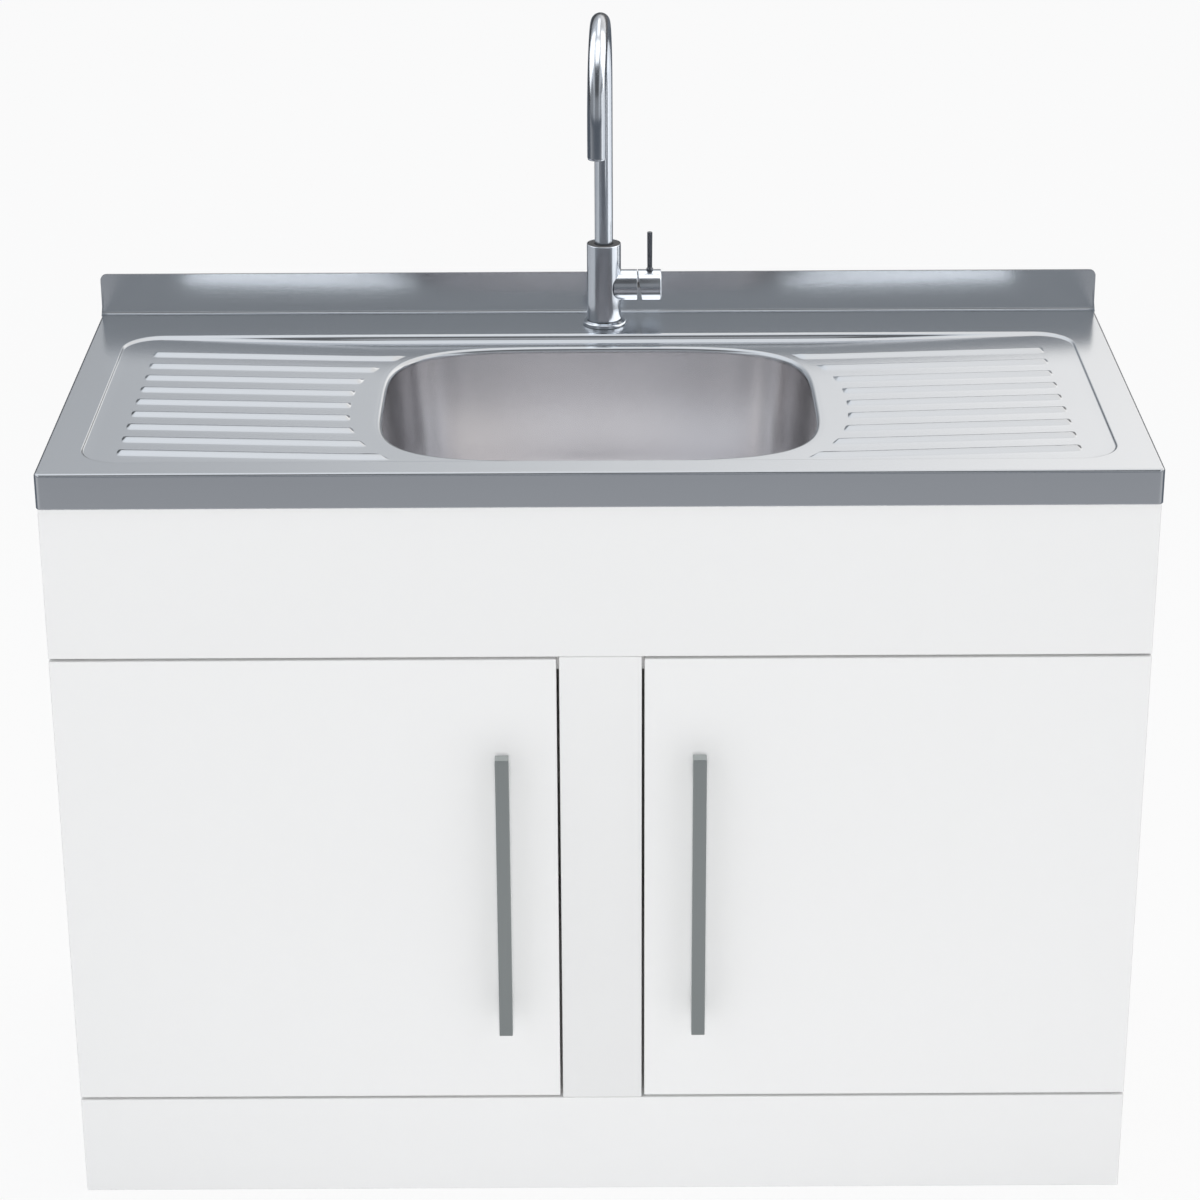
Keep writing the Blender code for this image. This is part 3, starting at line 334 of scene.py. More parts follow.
def turned(profile, sides, centre, axis="z", trim=0.0):
    """Rings of a profile of (radius, distance along the axis), turned about an axis through centre.

    trim is taken off the radius: a number, or one for each point of each ring."""
    angle = np.linspace(0, TAU, sides, endpoint=False)
    radius = profile[:, :1] - trim
    along = np.repeat(profile[:, 1:], sides, axis=1)
    across = (radius * np.cos(angle), radius * np.sin(angle))
    order = {"x": (along, *across), "y": (across[0], along, across[1]), "z": (*across, along)}[axis]
    return np.stack(order, axis=-1) + np.asarray(centre, float)


def solid_turned(name, node, profile, sides, centre, axis="z", loop=True, trim=0.0):
    """A turned piece: a loop clear of the axis, or an outline that starts and ends on it."""
    grid = turned(profile, sides, centre, axis, trim)
    piece(name, [(grid, loop, True)], node, 40)


def ribbed_trim(sides, count, depth, ribbed):
    """Dips between grip ribs at the profile's ribbed points: depth * smooth step of
    (0.5 - 1.4 cos(count * angle)), a wave with flat crests and dips."""
    angle = np.linspace(0, TAU, sides, endpoint=False)
    return depth * smooth_step(0.5 - 1.4 * np.cos(count * angle)) * ribbed[:, None]


def threaded(bore, radius, foot, end, top, pitch, depth):
    """Outline of a bored rod with a round thread, radius - depth * (1 - cos) / 2, from its foot
    up to end, and plain from there to its top."""
    z = np.arange(foot + pitch / 2, end, pitch / 6)
    thread = np.stack((radius - depth * (1 - np.cos(z * TAU / pitch)) / 2, z), axis=-1)
    ease = depth / 2
    start = ((bore, foot), (radius - depth, foot))
    plain = ((radius, end + pitch), (radius, top - ease), (radius - ease, top), (bore, top))
    return np.concatenate((start, thread, plain))


def hexagon_trim(profile, sides, corner):
    """What a hexagon cuts off a round profile: its reach is corner * cos 30 over the cosine of the
    angle from a flat's middle."""
    angle = np.linspace(0, TAU, sides, endpoint=False)
    off = (angle + TAU / 12) % (TAU / 6) - TAU / 12
    return np.maximum(0, profile[:, :1] - corner * math.cos(TAU / 12) / np.cos(off))


def rounded_block(low, high, edge, steps=4):
    """Six grids of a block whose edges are round: the point is the inner block's nearest point
    plus the edge radius along the direction from it."""
    low = np.asarray(low, float) + edge
    high = np.asarray(high, float) - edge
    bend = np.tan(np.linspace(0, math.pi / 4, steps + 1))
    hold = 2 * edge
    slope = np.concatenate((-bend[::-1], (0, 0), bend))
    spans = []
    for start, end in zip(low, high):
        ends = [np.full(steps + 1, at) for at in (start, end)]
        spans.append(np.concatenate((ends[0], (start + hold, end - hold), ends[1])))
    patches = []
    for axis in range(3):
        u, v = [k for k in range(3) if k != axis]
        at_u, at_v = np.meshgrid(spans[u], spans[v], indexing="ij")
        way_u, way_v = np.meshgrid(slope, slope, indexing="ij")
        length = np.sqrt(1 + way_u**2 + way_v**2)
        for side, face in ((-1, low), (1, high)):
            grid = np.empty((*at_u.shape, 3))
            grid[..., u] = at_u + edge * way_u / length
            grid[..., v] = at_v + edge * way_v / length
            grid[..., axis] = face[axis] + side * edge / length
            patches.append((grid, False, False))
    return patches


def swept(path, ways, sides, radius):
    """Rings of a round tube along a path in the YZ plane: ways are its directions as angles from +Z."""
    angle = np.linspace(0, TAU, sides, endpoint=False)
    across = radius * np.cos(angle)
    inwards = radius * np.sin(angle)
    x = np.broadcast_to(across, (len(path), sides))
    y = path[:, :1] + inwards * np.cos(ways)[:, None]
    z = path[:, 1:] + inwards * np.sin(ways)[:, None]
    return np.stack((x, y, z), axis=-1)


# Outlines of the top

LONG_POINTS = 160
SHORT_POINTS = 40
CORNER_POINTS = 14


def rounded_rectangle(half, front, back, corner):
    """Points round a rectangle with quarter-circle corners, anticlockwise from the front left one."""
    corner = max(corner, 0.0004)
    turn = np.linspace(0, math.pi / 2, CORNER_POINTS + 1)
    middles = np.array((
        (-half + corner, front + corner), (half - corner, front + corner),
        (half - corner, back - corner), (-half + corner, back - corner),
    ))
    arcs = []
    for k, middle in enumerate(middles):
        angle = turn + math.pi * (1 + k / 2)
        arcs.append(middle + corner * np.stack((np.cos(angle), np.sin(angle)), axis=-1))
    line = []
    for k, arc in enumerate(arcs):
        between = LONG_POINTS if k % 2 == 0 else SHORT_POINTS
        t = np.linspace(0, 1, between + 2)[1:-1, None]
        line += [arc, arc[-1] * (1 - t) + arcs[(k + 1) % 4][0] * t]
    return np.concatenate(line)


def apron_ring(inset):
    """The top's outline, moved inwards."""
    return rounded_rectangle(
        HALF_TOP - inset, APRON_Y + inset, APRON_BACK - inset, APRON_CORNER - inset)


def recess_ring(share):
    """A level line of the recess's step, share of the way down it; the step is wider at the back."""
    inset = RECESS_STEP * share
    back = RECESS_BACK - BACK_STEP * share
    return rounded_rectangle(
        RECESS_HALF - inset, RECESS_FRONT + inset, back, RECESS_CORNER - inset)


def step_fall(ring, share):
    """Fall of the recess's step: two equal arcs tangent to each other and to the flats, so that
    radius = (run^2 + drop^2) / (4 drop), and half way down one turns into the other."""
    drop = COUNTER - drainer_height(ring[:, 0])
    back = smooth_step((ring[:, 1] - RECESS_BACK) / RECESS_CORNER + 1)
    run = RECESS_STEP + (BACK_STEP - RECESS_STEP) * back
    radius = (run**2 + drop**2) / (4 * drop)
    along = run * min(share, 1 - share)
    arc = radius - np.sqrt(np.maximum(radius**2 - along**2, 0))
    return arc if share < 0.5 else drop - arc


def bowl_ring(offset, angle):
    """The bowl's outline, moved outwards: a superellipse whose reach is
    (|cos / a|^n + |sin / b|^n)^(-1 / n)."""
    a, b = (half + offset for half in BOWL_HALF)
    reach = np.abs(np.cos(angle) / a) ** BOWL_POWER + np.abs(np.sin(angle) / b) ** BOWL_POWER
    reach = reach ** (-1 / BOWL_POWER)
    return np.stack((reach * np.cos(angle), BOWL_Y + reach * np.sin(angle)), axis=-1)


def drainer_height(x):
    """The drainers fall from their outer ends and are level round the bowl: the share of the fall
    that is left is (t + sqrt(t^2 + ease^2)) / 2, which turns from t to 0 without a crease."""
    left = 1 - (RECESS_HALF - np.abs(x)) / FALL_LENGTH
    left = (left + np.sqrt(left * left + FALL_EASE**2)) / 2
    return COUNTER - RECESS_DEPTH - RECESS_FALL * (1 - left)


def raised(ring, height):
    """Gives a plan outline its height, a number or one per point."""
    return np.concatenate((ring, np.broadcast_to(height, len(ring))[:, None]), axis=1)


# Sink top

def sheet_rings():
    """Rings of the pressed sheet from the flange under the apron, over the top, to the bowl's lip."""
    profile = filleted([
        (RETURN_WIDTH, APRON_FOOT, 0), (0, APRON_FOOT, APRON_HEM), (0, COUNTER, APRON_ROLL),
        (0.020, COUNTER, 0),
    ], 8, 0.0006)
    rings = [raised(apron_ring(inset), height) for inset, height in profile]
    rings.append(raised(recess_ring(-0.2), COUNTER))
    half = np.sin(np.linspace(0, 1, 13) * STEEPEST) / (2 * math.sin(STEEPEST))
    for share in (*half, *(1 - half[-2::-1])):
        ring = recess_ring(share)
        rings.append(raised(ring, COUNTER - step_fall(ring, share)))
    foot = recess_ring(1)
    angle = np.arctan2(foot[:, 1] - BOWL_Y, foot[:, 0])
    around = bowl_ring(RIM_SURROUND, angle)
    for t in (0.04, 0.25, 0.5, 0.75, 0.96, 1.0):
        ring = foot * (1 - t) + around * t
        rings.append(raised(ring, drainer_height(ring[:, 0])))
    edge = bowl_ring(RIM_ROLL, angle)
    for t in np.linspace(0.1, 1, 10):
        ring = around * (1 - t) + edge * t
        fall = drainer_height(ring[:, 0])
        rings.append(raised(ring, fall + (RIM - fall) * smooth_step(t)))
    for turn in np.linspace(0, math.pi / 2, 10)[1:]:
        ring = bowl_ring(RIM_ROLL * (1 - math.sin(turn)), angle)
        rings.append(raised(ring, RIM - RIM_ROLL * (1 - math.cos(turn))))
    rings.append(raised(bowl_ring(0, angle), LIP))
    under = [
        raised(bowl_ring(SHEET, angle), LIP),
        raised(bowl_ring(SHEET, angle), RIM - RIM_ROLL),
        raised(around, drainer_height(around[:, 0]) - SHEET),
        raised(foot, drainer_height(foot[:, 0]) - SHEET),
        raised(recess_ring(0), COUNTER - SHEET),
        raised(apron_ring(APRON_ROLL), COUNTER - SHEET),
        raised(apron_ring(SHEET), COUNTER - APRON_ROLL),
        raised(apron_ring(SHEET), APRON_FOOT + SHEET),
        raised(apron_ring(RETURN_WIDTH), APRON_FOOT + SHEET),
    ]
    return np.stack(rings + under)


def rib_grids():
    """Every drainer rib as a low round wave: across it is a raised cosine, along it runs out
    at the outer end and at the curve round the bowl, which its inner end follows."""
    across = np.linspace(-1, 1, 33) * RIB_WIDTH / 2
    crest = (1 + np.cos(across / RIB_WIDTH * TAU)) / 2
    step = np.linspace(0, 1, 10) * RIB_RUNOUT
    half, depth, power = RIB_CURVE
    grids = []
    for k in range(RIB_COUNT):
        off = (k - (RIB_COUNT - 1) / 2) * RIB_PITCH + across
        inner = half * np.clip(1 - np.abs(off / depth) ** power, 0, 1) ** (1 / power)
        middle = np.linspace(0, 1, 14)[1:-1, None]
        start = inner + step[:, None]
        end = RIB_OUTER_END - step[::-1, None] + 0 * inner
        x = np.concatenate((start, start[-1] * (1 - middle) + end[0] * middle, end))
        rise = smooth_step((x - inner) / RIB_RUNOUT) * smooth_step((RIB_OUTER_END - x) / RIB_RUNOUT)
        height = drainer_height(x) + RIB_HEIGHT * rise * crest - HAIR
        y = np.broadcast_to(BOWL_Y + RIB_SHIFT + off, x.shape)
        grids += [(np.stack((side * x, y, height), axis=-1), False, False) for side in (-1, 1)]
    return grids


def splash_grid():
    """The upstand: a fold up from the ledge, a round hem, and down the back past the ledge.

    Its section is carried along X, and towards the top its ends come in along a quarter circle."""
    front = BACK_Y - SPLASH_SHEET
    foot = front - SPLASH_FOOT
    ledge, under = COUNTER + HAIR, COUNTER - SPLASH_UNDER
    lap = BACK_Y - LAP_SHEET
    section = filleted([
        (foot, ledge, 0), (front, ledge, SPLASH_FOLD),
        (front, SPLASH_TOP, SPLASH_HEM), (BACK_Y, SPLASH_TOP, SPLASH_HEM),
        (BACK_Y, COUNTER - SPLASH_LAP, 0), (lap, COUNTER - SPLASH_LAP, 0),
        (lap, under, 0), (foot, under, 0),
    ], 8, 0.0005)
    section = with_levels(section, SPLASH_TOP - SPLASH_CORNER * np.linspace(1, 0, 9))
    over = np.clip(section[:, 1] - (SPLASH_TOP - SPLASH_CORNER), 0, SPLASH_CORNER)
    pull = SPLASH_CORNER - np.sqrt(SPLASH_CORNER**2 - over**2)
    t = np.linspace(-1, 1, 41)
    x = (HALF_TOP - pull)[:, None] * t
    y = np.repeat(section[:, :1], len(t), axis=1)
    z = np.repeat(section[:, 1:], len(t), axis=1)
    return np.stack((x, y, z), axis=-1)


def with_levels(line, levels):
    """Adds points to a bent line where it crosses the given heights."""
    parts = []
    for one, two in zip(line, line[1:]):
        low, high = sorted((one[1], two[1]))
        inside = levels[(levels > low + 1e-6) & (levels < high - 1e-6)]
        inside = inside if two[1] > one[1] else inside[::-1]
        t = (inside - one[1]) / (two[1] - one[1]) if len(inside) else inside
        parts.append(np.concatenate((one[None], one + (two - one) * t[:, None])))
    parts.append(line[-1:])
    return np.concatenate(parts)


def end_caps(grid):
    """Closes the two ends of a section carried along X, as fans of quads to each end's middle."""
    caps = []
    for end in (grid[:, 0], grid[:, -1]):
        middle = np.broadcast_to(end.mean(axis=0), end.shape)
        caps.append((np.stack((end, middle)), False, True))
    return caps


def make_top():
    """The sheet with the ribs and the upstand that lie on it."""
    piece("top_sheet", [(sheet_rings(), True, True)], "sink_top", 30)
    piece("drainer_ribs", rib_grids(), "sink_top", face_up=True)
    splash = splash_grid()
    piece("splash", [(splash, True, False), *end_caps(splash)], "sink_top", 50)


def bowl_rings(offset, drop, angle):
    """Rings of one face of the drawn bowl: a wall that tapers in, a round bottom corner, a floor
    that falls to the round seat, and the drain's edge."""
    rings = []
    corner = BOWL_FLOOR + BOWL_CORNER
    for t in np.linspace(0, 1, 9):
        height = LIP - BOWL_JOINT + (corner - LIP) * t
        rings.append(raised(bowl_ring(offset - BOWL_TAPER * t, angle), height))
    for turn in np.linspace(0, math.pi / 2, 15)[1:]:
        inset = BOWL_TAPER + BOWL_CORNER * (1 - math.cos(turn))
        ring = bowl_ring(offset * math.cos(turn) - inset, angle)
        rings.append(raised(ring, corner - (BOWL_CORNER + drop) * math.sin(turn)))
    edge = bowl_ring(-BOWL_TAPER - BOWL_CORNER, angle)
    circle = np.stack((np.cos(angle), np.sin(angle)), axis=-1)
    middle = np.array((0, BOWL_Y))
    for t in np.linspace(0, 1, 9)[1:]:
        ring = edge * (1 - t) + (middle + (SEAT_RADIUS + SEAT_EASE) * circle) * t
        rings.append(raised(ring, BOWL_FLOOR - drop - FLOOR_FALL * smooth_step(t)))
    for t in np.linspace(0, 1, 6)[1:]:
        ring = middle + (SEAT_RADIUS + SEAT_EASE * (1 - t)) * circle
        fall = FLOOR_FALL + (BOWL_FLOOR - BOWL_SEAT - FLOOR_FALL) * smooth_step(t)
        rings.append(raised(ring, BOWL_FLOOR - drop - fall))
    rings.append(raised(middle + DRAIN_RADIUS * circle, BOWL_SEAT - drop))
    return rings


def make_bowl():
    """The bowl's inner face and, one sheet away, its outer face, joined into a closed skin."""
    angle = np.linspace(0, TAU, 240, endpoint=False)
    rings = bowl_rings(0, 0, angle) + bowl_rings(SHEET, SHEET, angle)[::-1]
    piece("bowl_shell", [(np.stack(rings), True, True)], "bowl", 40)


# Cabinet

def make_board(node, edge=BOARD_EDGE, steps=4):
    """A board with round edges in the place of its plain block."""
    low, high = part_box(node)
    piece(f"{node}_board", rounded_block(low, high, edge, steps), node)


def make_handles():
    """Each door's square bar and the two turned posts that hold it, wider at the door."""
    for word in ("left", "right"):
        make_board(f"handle_bar_{word}", BAR_EDGE)
        for end in ("upper", "lower"):
            node = f"handle_post_{word}_{end}"
            low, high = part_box(node)
            middle = ((low.x + high.x) / 2, low.y, (low.z + high.z) / 2)
            length = high.y - low.y
            foot = length - POST_FOOT
            profile = filleted([
                (0, 0, 0), (POST_RADIUS, 0, 0), (POST_RADIUS, foot, 0.0006),
                (POST_FOOT_RADIUS, foot, 0.0005), (POST_FOOT_RADIUS, length, 0), (0, length, 0),
            ], 4, 0.0002)
            solid_turned(f"{node}_turned", node, profile, 40, middle, "y", loop=False)


def make_catches():
    """The magnetic catches and the plates on the doors that meet them."""
    for word in ("left", "right"):
        make_board(f"magnetic_catch_{word}", CATCH_EDGE)
        make_board(f"strike_plate_{word}", STRIKE_EDGE, 3)


# Waste

def make_strainer():
    """The drain's body: a flange on the bowl's seat, a deep cup and a neck."""
    wall = STRAINER_RADIUS - STRAINER_WALL
    floor = STRAINER_WALL - STRAINER_DEPTH
    body = looped([
        (STRAINER_RADIUS, 0.0003, 0), (STRAINER_FLANGE, 0.0003, 0.0003),
        (STRAINER_FLANGE, 0.0012, 0.0005), (0.0525, 0.002, 0.001),
        (wall, 0.002, 0.0012), (wall, floor, 0.004),
        (NECK_BORE, floor, 0.002), (NECK_BORE, STRAINER_FOOT, 0.0004),
        (NECK_RADIUS, STRAINER_FOOT, 0.0008), (NECK_RADIUS, -STRAINER_DEPTH, 0.0015),
        (STRAINER_RADIUS, -STRAINER_DEPTH, 0.004),
    ], 5, 0.0003)
    solid_turned("strainer_cup", "strainer_body", body, 80, DRAIN)


def make_basket():
    """The lift-out basket: a thin cup with a rim, a hub with a knob, and bars between its slots."""
    floor = BASKET_RIM - BASKET_DEPTH
    above = floor + BASKET_SHEET
    top = BASKET_RIM + 0.0014
    cup = looped([
        (BASKET_FLOOR, floor, 0.0004), (0.036, floor, 0.003),
        (0.0413, BASKET_RIM, 0.0008), (BASKET_RADIUS, BASKET_RIM, 0.0005),
        (BASKET_RADIUS, top, 0.0006), (0.0401, top, 0.0015),
        (0.0348, above, 0.003), (BASKET_FLOOR, above, 0.0004),
    ], 5, 0.0002)
    hub = filleted([
        (0, floor, 0), (BASKET_HUB, floor, 0.0004), (BASKET_HUB, above, 0.0004),
        (0.0045, above, 0.0020), (0.0035, above + 0.011, 0.004),
        (0.008, above + 0.018, 0.0015), (0.0074, above + KNOB_HEIGHT, 0.0016),
        (0, above + KNOB_HEIGHT, 0),
    ], 6, 0.0002)
    patches = [(turned(cup, 80, DRAIN), True, True), (turned(hub, 64, DRAIN), False, True)]
    edge = looped([(-1, -1, 0.3), (1, -1, 0.3), (1, 1, 0.3), (-1, 1, 0.3)], 3, 0)
    reach = np.array((
        BASKET_HUB - BAR_LAP, BASKET_HUB + BAR_LAP / 2,
        BASKET_FLOOR - BAR_LAP / 2, BASKET_FLOOR + BAR_LAP,
    ))
    rise = np.repeat((floor + BASKET_SHEET * (0.5 + 0.45 * edge[:, 1:])), len(reach), axis=1)
    for k in range(BASKET_BARS):
        angle = BASKET_TURN + (k + 0.75 + edge[:, :1] / 4) * TAU / BASKET_BARS
        bar = np.stack((reach * np.cos(angle), reach * np.sin(angle), rise), axis=-1) + DRAIN
        patches += [(bar, True, False), *end_caps(bar)]
    piece("basket_shell", patches, "strainer_basket", 40)


def make_nut(node, axis, bore, count):
    """A moulded nut with grip ribs, as large as its plain ring."""
    low, high = (np.array(corner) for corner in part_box(node))
    along = "xyz".index(axis)
    radius, half = (high - low)[along - 1] / 2, (high - low)[along] / 2
    profile = looped([
        (bore, -half, 0.0004), (radius - 0.0014, -half, 0.0006),
        (radius, -half + 0.0022, 0.0008), (radius, half - 0.0012, 0.0006),
        (radius - 0.0008, half, 0.0005), (bore, half, 0.0004),
    ])
    sides = RIB_SIDES * count
    trim = ribbed_trim(sides, count, NUT_RIB, profile[:, 0] > radius - NUT_RIB / 2)
    solid_turned(f"{node}_ribbed", node, profile, sides, (low + high) / 2, axis, trim=trim)


def make_tube(node, axis, radius, bore):
    """A plain tube with eased ends in the place of a node."""
    low, high = (np.array(corner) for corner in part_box(node))
    half = (high - low)["xyz".index(axis)] / 2
    profile = looped([
        (bore, -half, 0.0004), (radius, -half, 0.0006),
        (radius, half, 0.0006), (bore, half, 0.0004),
    ], 4, 0.0003)
    solid_turned(f"{node}_tube", node, profile, 64, (low + high) / 2, axis)


def make_trap():
    """The bottle trap: a head with an outlet to the back that is waisted under its nut, and a cup
    with a ribbed collar and a round foot."""
    at = (0, BOWL_Y, 0)
    inner = TRAP_RADIUS - TRAP_WALL
    foot, top = heights("trap_head")
    head = looped([
        (inner, foot, 0.0003), (TRAP_RADIUS, foot, 0.0005),
        (TRAP_RADIUS, top, 0.0035), (TRAP_MOUTH, top, 0.0004),
        (TRAP_MOUTH, top - TRAP_WALL, 0.0004), (inner, top - TRAP_WALL, 0.002),
    ], 6, 0.0004)
    stub = looped([
        (OUTLET_BORE, inner - 0.001, 0), (OUTLET_RADIUS, inner - 0.001, 0),
        (OUTLET_RADIUS, 0.034, 0.0003), (OUTLET_WAIST, 0.035, 0.0003),
        (OUTLET_WAIST, 0.047, 0.0003), (OUTLET_RADIUS, 0.048, 0.0003),
        (OUTLET_RADIUS, OUTLET_REACH, 0.0005), (OUTLET_BORE, OUTLET_REACH, 0.0004),
    ])
    outlet = (0, BOWL_Y, top - OUTLET_DROP)
    patches = [(turned(head, 80, at), True, True), (turned(stub, 64, outlet, "y"), True, True)]
    piece("trap_head_shell", patches, "trap_head", 40)
    foot, top = heights("trap_cup")
    socket = top - CUP_SOCKET_DEPTH
    cup = filleted([
        (0, foot, 0), (0.017, foot, 0.002), (0.019, foot + 0.002, 0.003),
        (CUP_BODY, foot + 0.012, 0.008), (CUP_BODY, top - 0.022, 0.001),
        (CUP_RADIUS, top - 0.020, 0.001), (CUP_RADIUS, top, 0.001),
        (CUP_SOCKET, top, 0.0003), (CUP_SOCKET, socket, 0.0003), (inner, socket, 0.0003),
        (inner, foot + 0.014, 0.006), (0.015, foot + CUP_FLOOR, 0.003), (0, foot + CUP_FLOOR, 0),
    ], 6, 0.0004)
    ribbed = (cup[:, 0] > CUP_RADIUS - 0.0004) & (cup[:, 1] < top - 0.0008)
    sides = RIB_SIDES * CUP_RIBS
    trim = ribbed_trim(sides, CUP_RIBS, CUP_RIB, ribbed)
    solid_turned("trap_cup_shell", "trap_cup", cup, sides, at, loop=False, trim=trim)


def make_waste():
    """All from the strainer down to the trap, and the pipe to the wall."""
    make_strainer()
    make_basket()
    make_nut("strainer_nut", "z", STRAINER_RADIUS + NUT_PLAY, 24)
    make_nut("trap_nut", "z", TAIL_RADIUS + NUT_PLAY, 18)
    make_nut("outlet_nut", "y", OUTLET_BORE, 18)
    make_tube("tailpiece", "z", TAIL_RADIUS, TAIL_BORE)
    make_tube("waste_pipe", "y", PIPE_RADIUS, PIPE_BORE)
    make_trap()


# Tap

def make_tap_fixing():
    """Below the top: a threaded shank, its plate and hexagon nut, and two inlet tails with
    threaded ends."""
    at = (TAP[0], TAP[1], 0)
    foot, top = heights("tap_shank")
    shank = threaded(SHANK_BORE, SHANK_RADIUS, foot, top - 0.007, top, *SHANK_THREAD)
    solid_turned("shank_thread", "tap_shank", shank, 64, at)
    foot, top = heights("tap_clamp_plate")
    plate = looped([
        (TAP_HOLE, foot, 0.0003), (PLATE_RADIUS, foot, 0.0008),
        (PLATE_RADIUS, top, 0.0008), (TAP_HOLE, top, 0.0003),
    ])
    solid_turned("clamp_ring", "tap_clamp_plate", plate, 80, at)
    foot, top = heights("tap_locknut")
    nut = looped([
        (TAP_HOLE, foot, 0.0005), (HEXAGON_FACE, foot, 0), (HEXAGON_CORNER, foot + 0.0014, 0),
        (HEXAGON_CORNER, top - 0.0014, 0), (HEXAGON_FACE, top, 0), (TAP_HOLE, top, 0.0005),
    ], 3, 0.0002)
    trim = hexagon_trim(nut, 144, HEXAGON_CORNER)
    solid_turned("lock_hexagon", "tap_locknut", nut, 144, at, trim=trim)
    for word in ("hot", "cold"):
        node = f"tap_inlet_{word}"
        low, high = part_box(node)
        tail = threaded(INLET_BORE, INLET_RADIUS, low.z, low.z + 0.010, high.z, *INLET_THREAD)
        solid_turned(f"{word}_tail", node, tail, 40, ((low.x + high.x) / 2, TAP[1], 0))


def make_tap():
    """Above the top: a flange whose skirt hides its gasket, the column with its barrel and bush,
    the handle cap and the spout."""
    foot, top = (height - COUNTER for height in heights("tap_flange"))
    flange = looped([
        (TAP_HOLE, foot, 0), (SKIRT_BORE, foot, 0.0003), (SKIRT_BORE, SKIRT_FOOT, 0.0003),
        (FLANGE_RADIUS, SKIRT_FOOT, 0.0003), (FLANGE_RADIUS, foot + 0.0022, 0.0008),
        (FLANGE_SHOULDER, top, 0.0008), (TAP_HOLE, top, 0),
    ], 5, 0.0002)
    solid_turned("tap_base_flange", "tap_flange", flange, 96, TAP)
    foot, top = BODY_LOW.z - COUNTER, BODY_HIGH.z - COUNTER
    column = looped([
        (BUSH_BORE, top - 0.024, 0), (BODY_BORE, foot, 0),
        (BODY_WAIST, foot, 0.0003), (BODY_WAIST, foot + 0.0009, 0.0002),
        (TAP_RADIUS, foot + 0.0009, 0.0003), (TAP_RADIUS, top, 0.0008),
        (BUSH_REBATE, top, 0.0003), (BUSH_REBATE, top - 0.0016, 0), (BUSH_BORE, top - 0.0016, 0),
    ], 5, 0.0003)
    barrel = looped([
        (BARREL_BORE, BARREL_START, 0), (BARREL_RADIUS, BARREL_START, 0),
        (BARREL_RADIUS, BARREL_END, 0.0005), (BARREL_BORE, BARREL_END, 0.0003),
    ])
    middle = TAP + (0, 0, BARREL_UP)
    patches = [(turned(column, 96, TAP), True, True), (turned(barrel, 96, middle, "x"), True, True)]
    piece("tap_column", patches, "tap_body", 35)
    inner = SPOUT_RADIUS + 0.0005
    bush = looped([
        (inner, top - 0.023, 0), (BUSH_RADIUS, top - 0.023, 0), (BUSH_RADIUS, top - 0.0013, 0),
        (BUSH_BRIM, top - 0.0013, 0), (BUSH_BRIM, top - 0.0002, 0.0004),
        (inner, top - 0.0002, 0.0006),
    ])
    solid_turned("spout_collar", "spout_bush", bush, 72, TAP)
    make_cap(middle)
    make_spout()


def make_cap(middle):
    """The handle cap, turned about X, and the pin lever on it. The start of the cap's rim slides
    along X with height, so that the groove next to the barrel is a wedge."""
    wall = BARREL_RADIUS - CAP_WALL
    floor = CAP_END - CAP_FACE
    profile = filleted([
        (0, floor, 0), (wall, floor, 0.0008), (wall, BARREL_END, 0.0004),
        (BARREL_RADIUS, BARREL_END, 0.0006), (BARREL_RADIUS, CAP_END, 0.0012), (0, CAP_END, 0),
    ], 5, 0.0003)
    grid = turned(profile, 96, middle, "x")
    high = (grid[..., 2] - middle[2]) / (2 * BARREL_RADIUS) + 0.5
    gap = CAP_GAPS[1] + (CAP_GAPS[0] - CAP_GAPS[1]) * high
    share = np.clip((floor - profile[:, 1]) / (floor - BARREL_END), 0, 1)[:, None]
    grid[..., 0] += gap * share
    piece("handle_cap_shell", [(grid, False, True)], "handle_cap")
    root, top = BARREL_RADIUS + 0.0002, LEVER_TOP - BARREL_UP
    lever = filleted([
        (0, wall + 0.0003, 0), (LEVER_RADIUS, wall + 0.0003, 0), (LEVER_RADIUS, root, 0.0001),
        (LEVER_COLLAR, root, 0.0003), (LEVER_COLLAR, root + 0.0014, 0.0004),
        (LEVER_RADIUS - 0.0004, root + 0.0030, 0.0006), (LEVER_RADIUS - 0.0002, top, 0.0012),
        (0, top, 0),
    ])
    solid_turned("lever_rod", "lever_pin", lever, 48, middle + (LEVER_AT, 0, 0), loop=False)


def spout_line():
    """Middle line of the gooseneck in its own plane and its direction: up, half a circle, down."""
    turn = np.linspace(0, math.pi, 73)
    y = SPOUT_BEND * (np.cos(turn) - 1)
    z = SPOUT_BEND_UP + SPOUT_BEND * np.sin(turn)
    foot = [(0, SPOUT_FOOT), (0, SPOUT_BEND_UP - 0.02)]
    tail = [(-2 * SPOUT_BEND, SPOUT_END + rise) for rise in (0.008, SPOUT_CHAMFER[1], 0)]
    path = np.concatenate((foot, np.stack((y, z), axis=-1), tail))
    ways = np.concatenate(((0, 0), turn, (math.pi,) * 3))
    return path, ways


def turn_about_tap(grid):
    """Turns points of the spout's plane about the tap's upright axis, then sets them on the top."""
    c, s = math.cos(SPOUT_TURN), math.sin(SPOUT_TURN)
    x = grid[..., 0] * c - grid[..., 1] * s
    y = grid[..., 0] * s + grid[..., 1] * c
    return np.stack((x, y, grid[..., 2]), axis=-1) + TAP


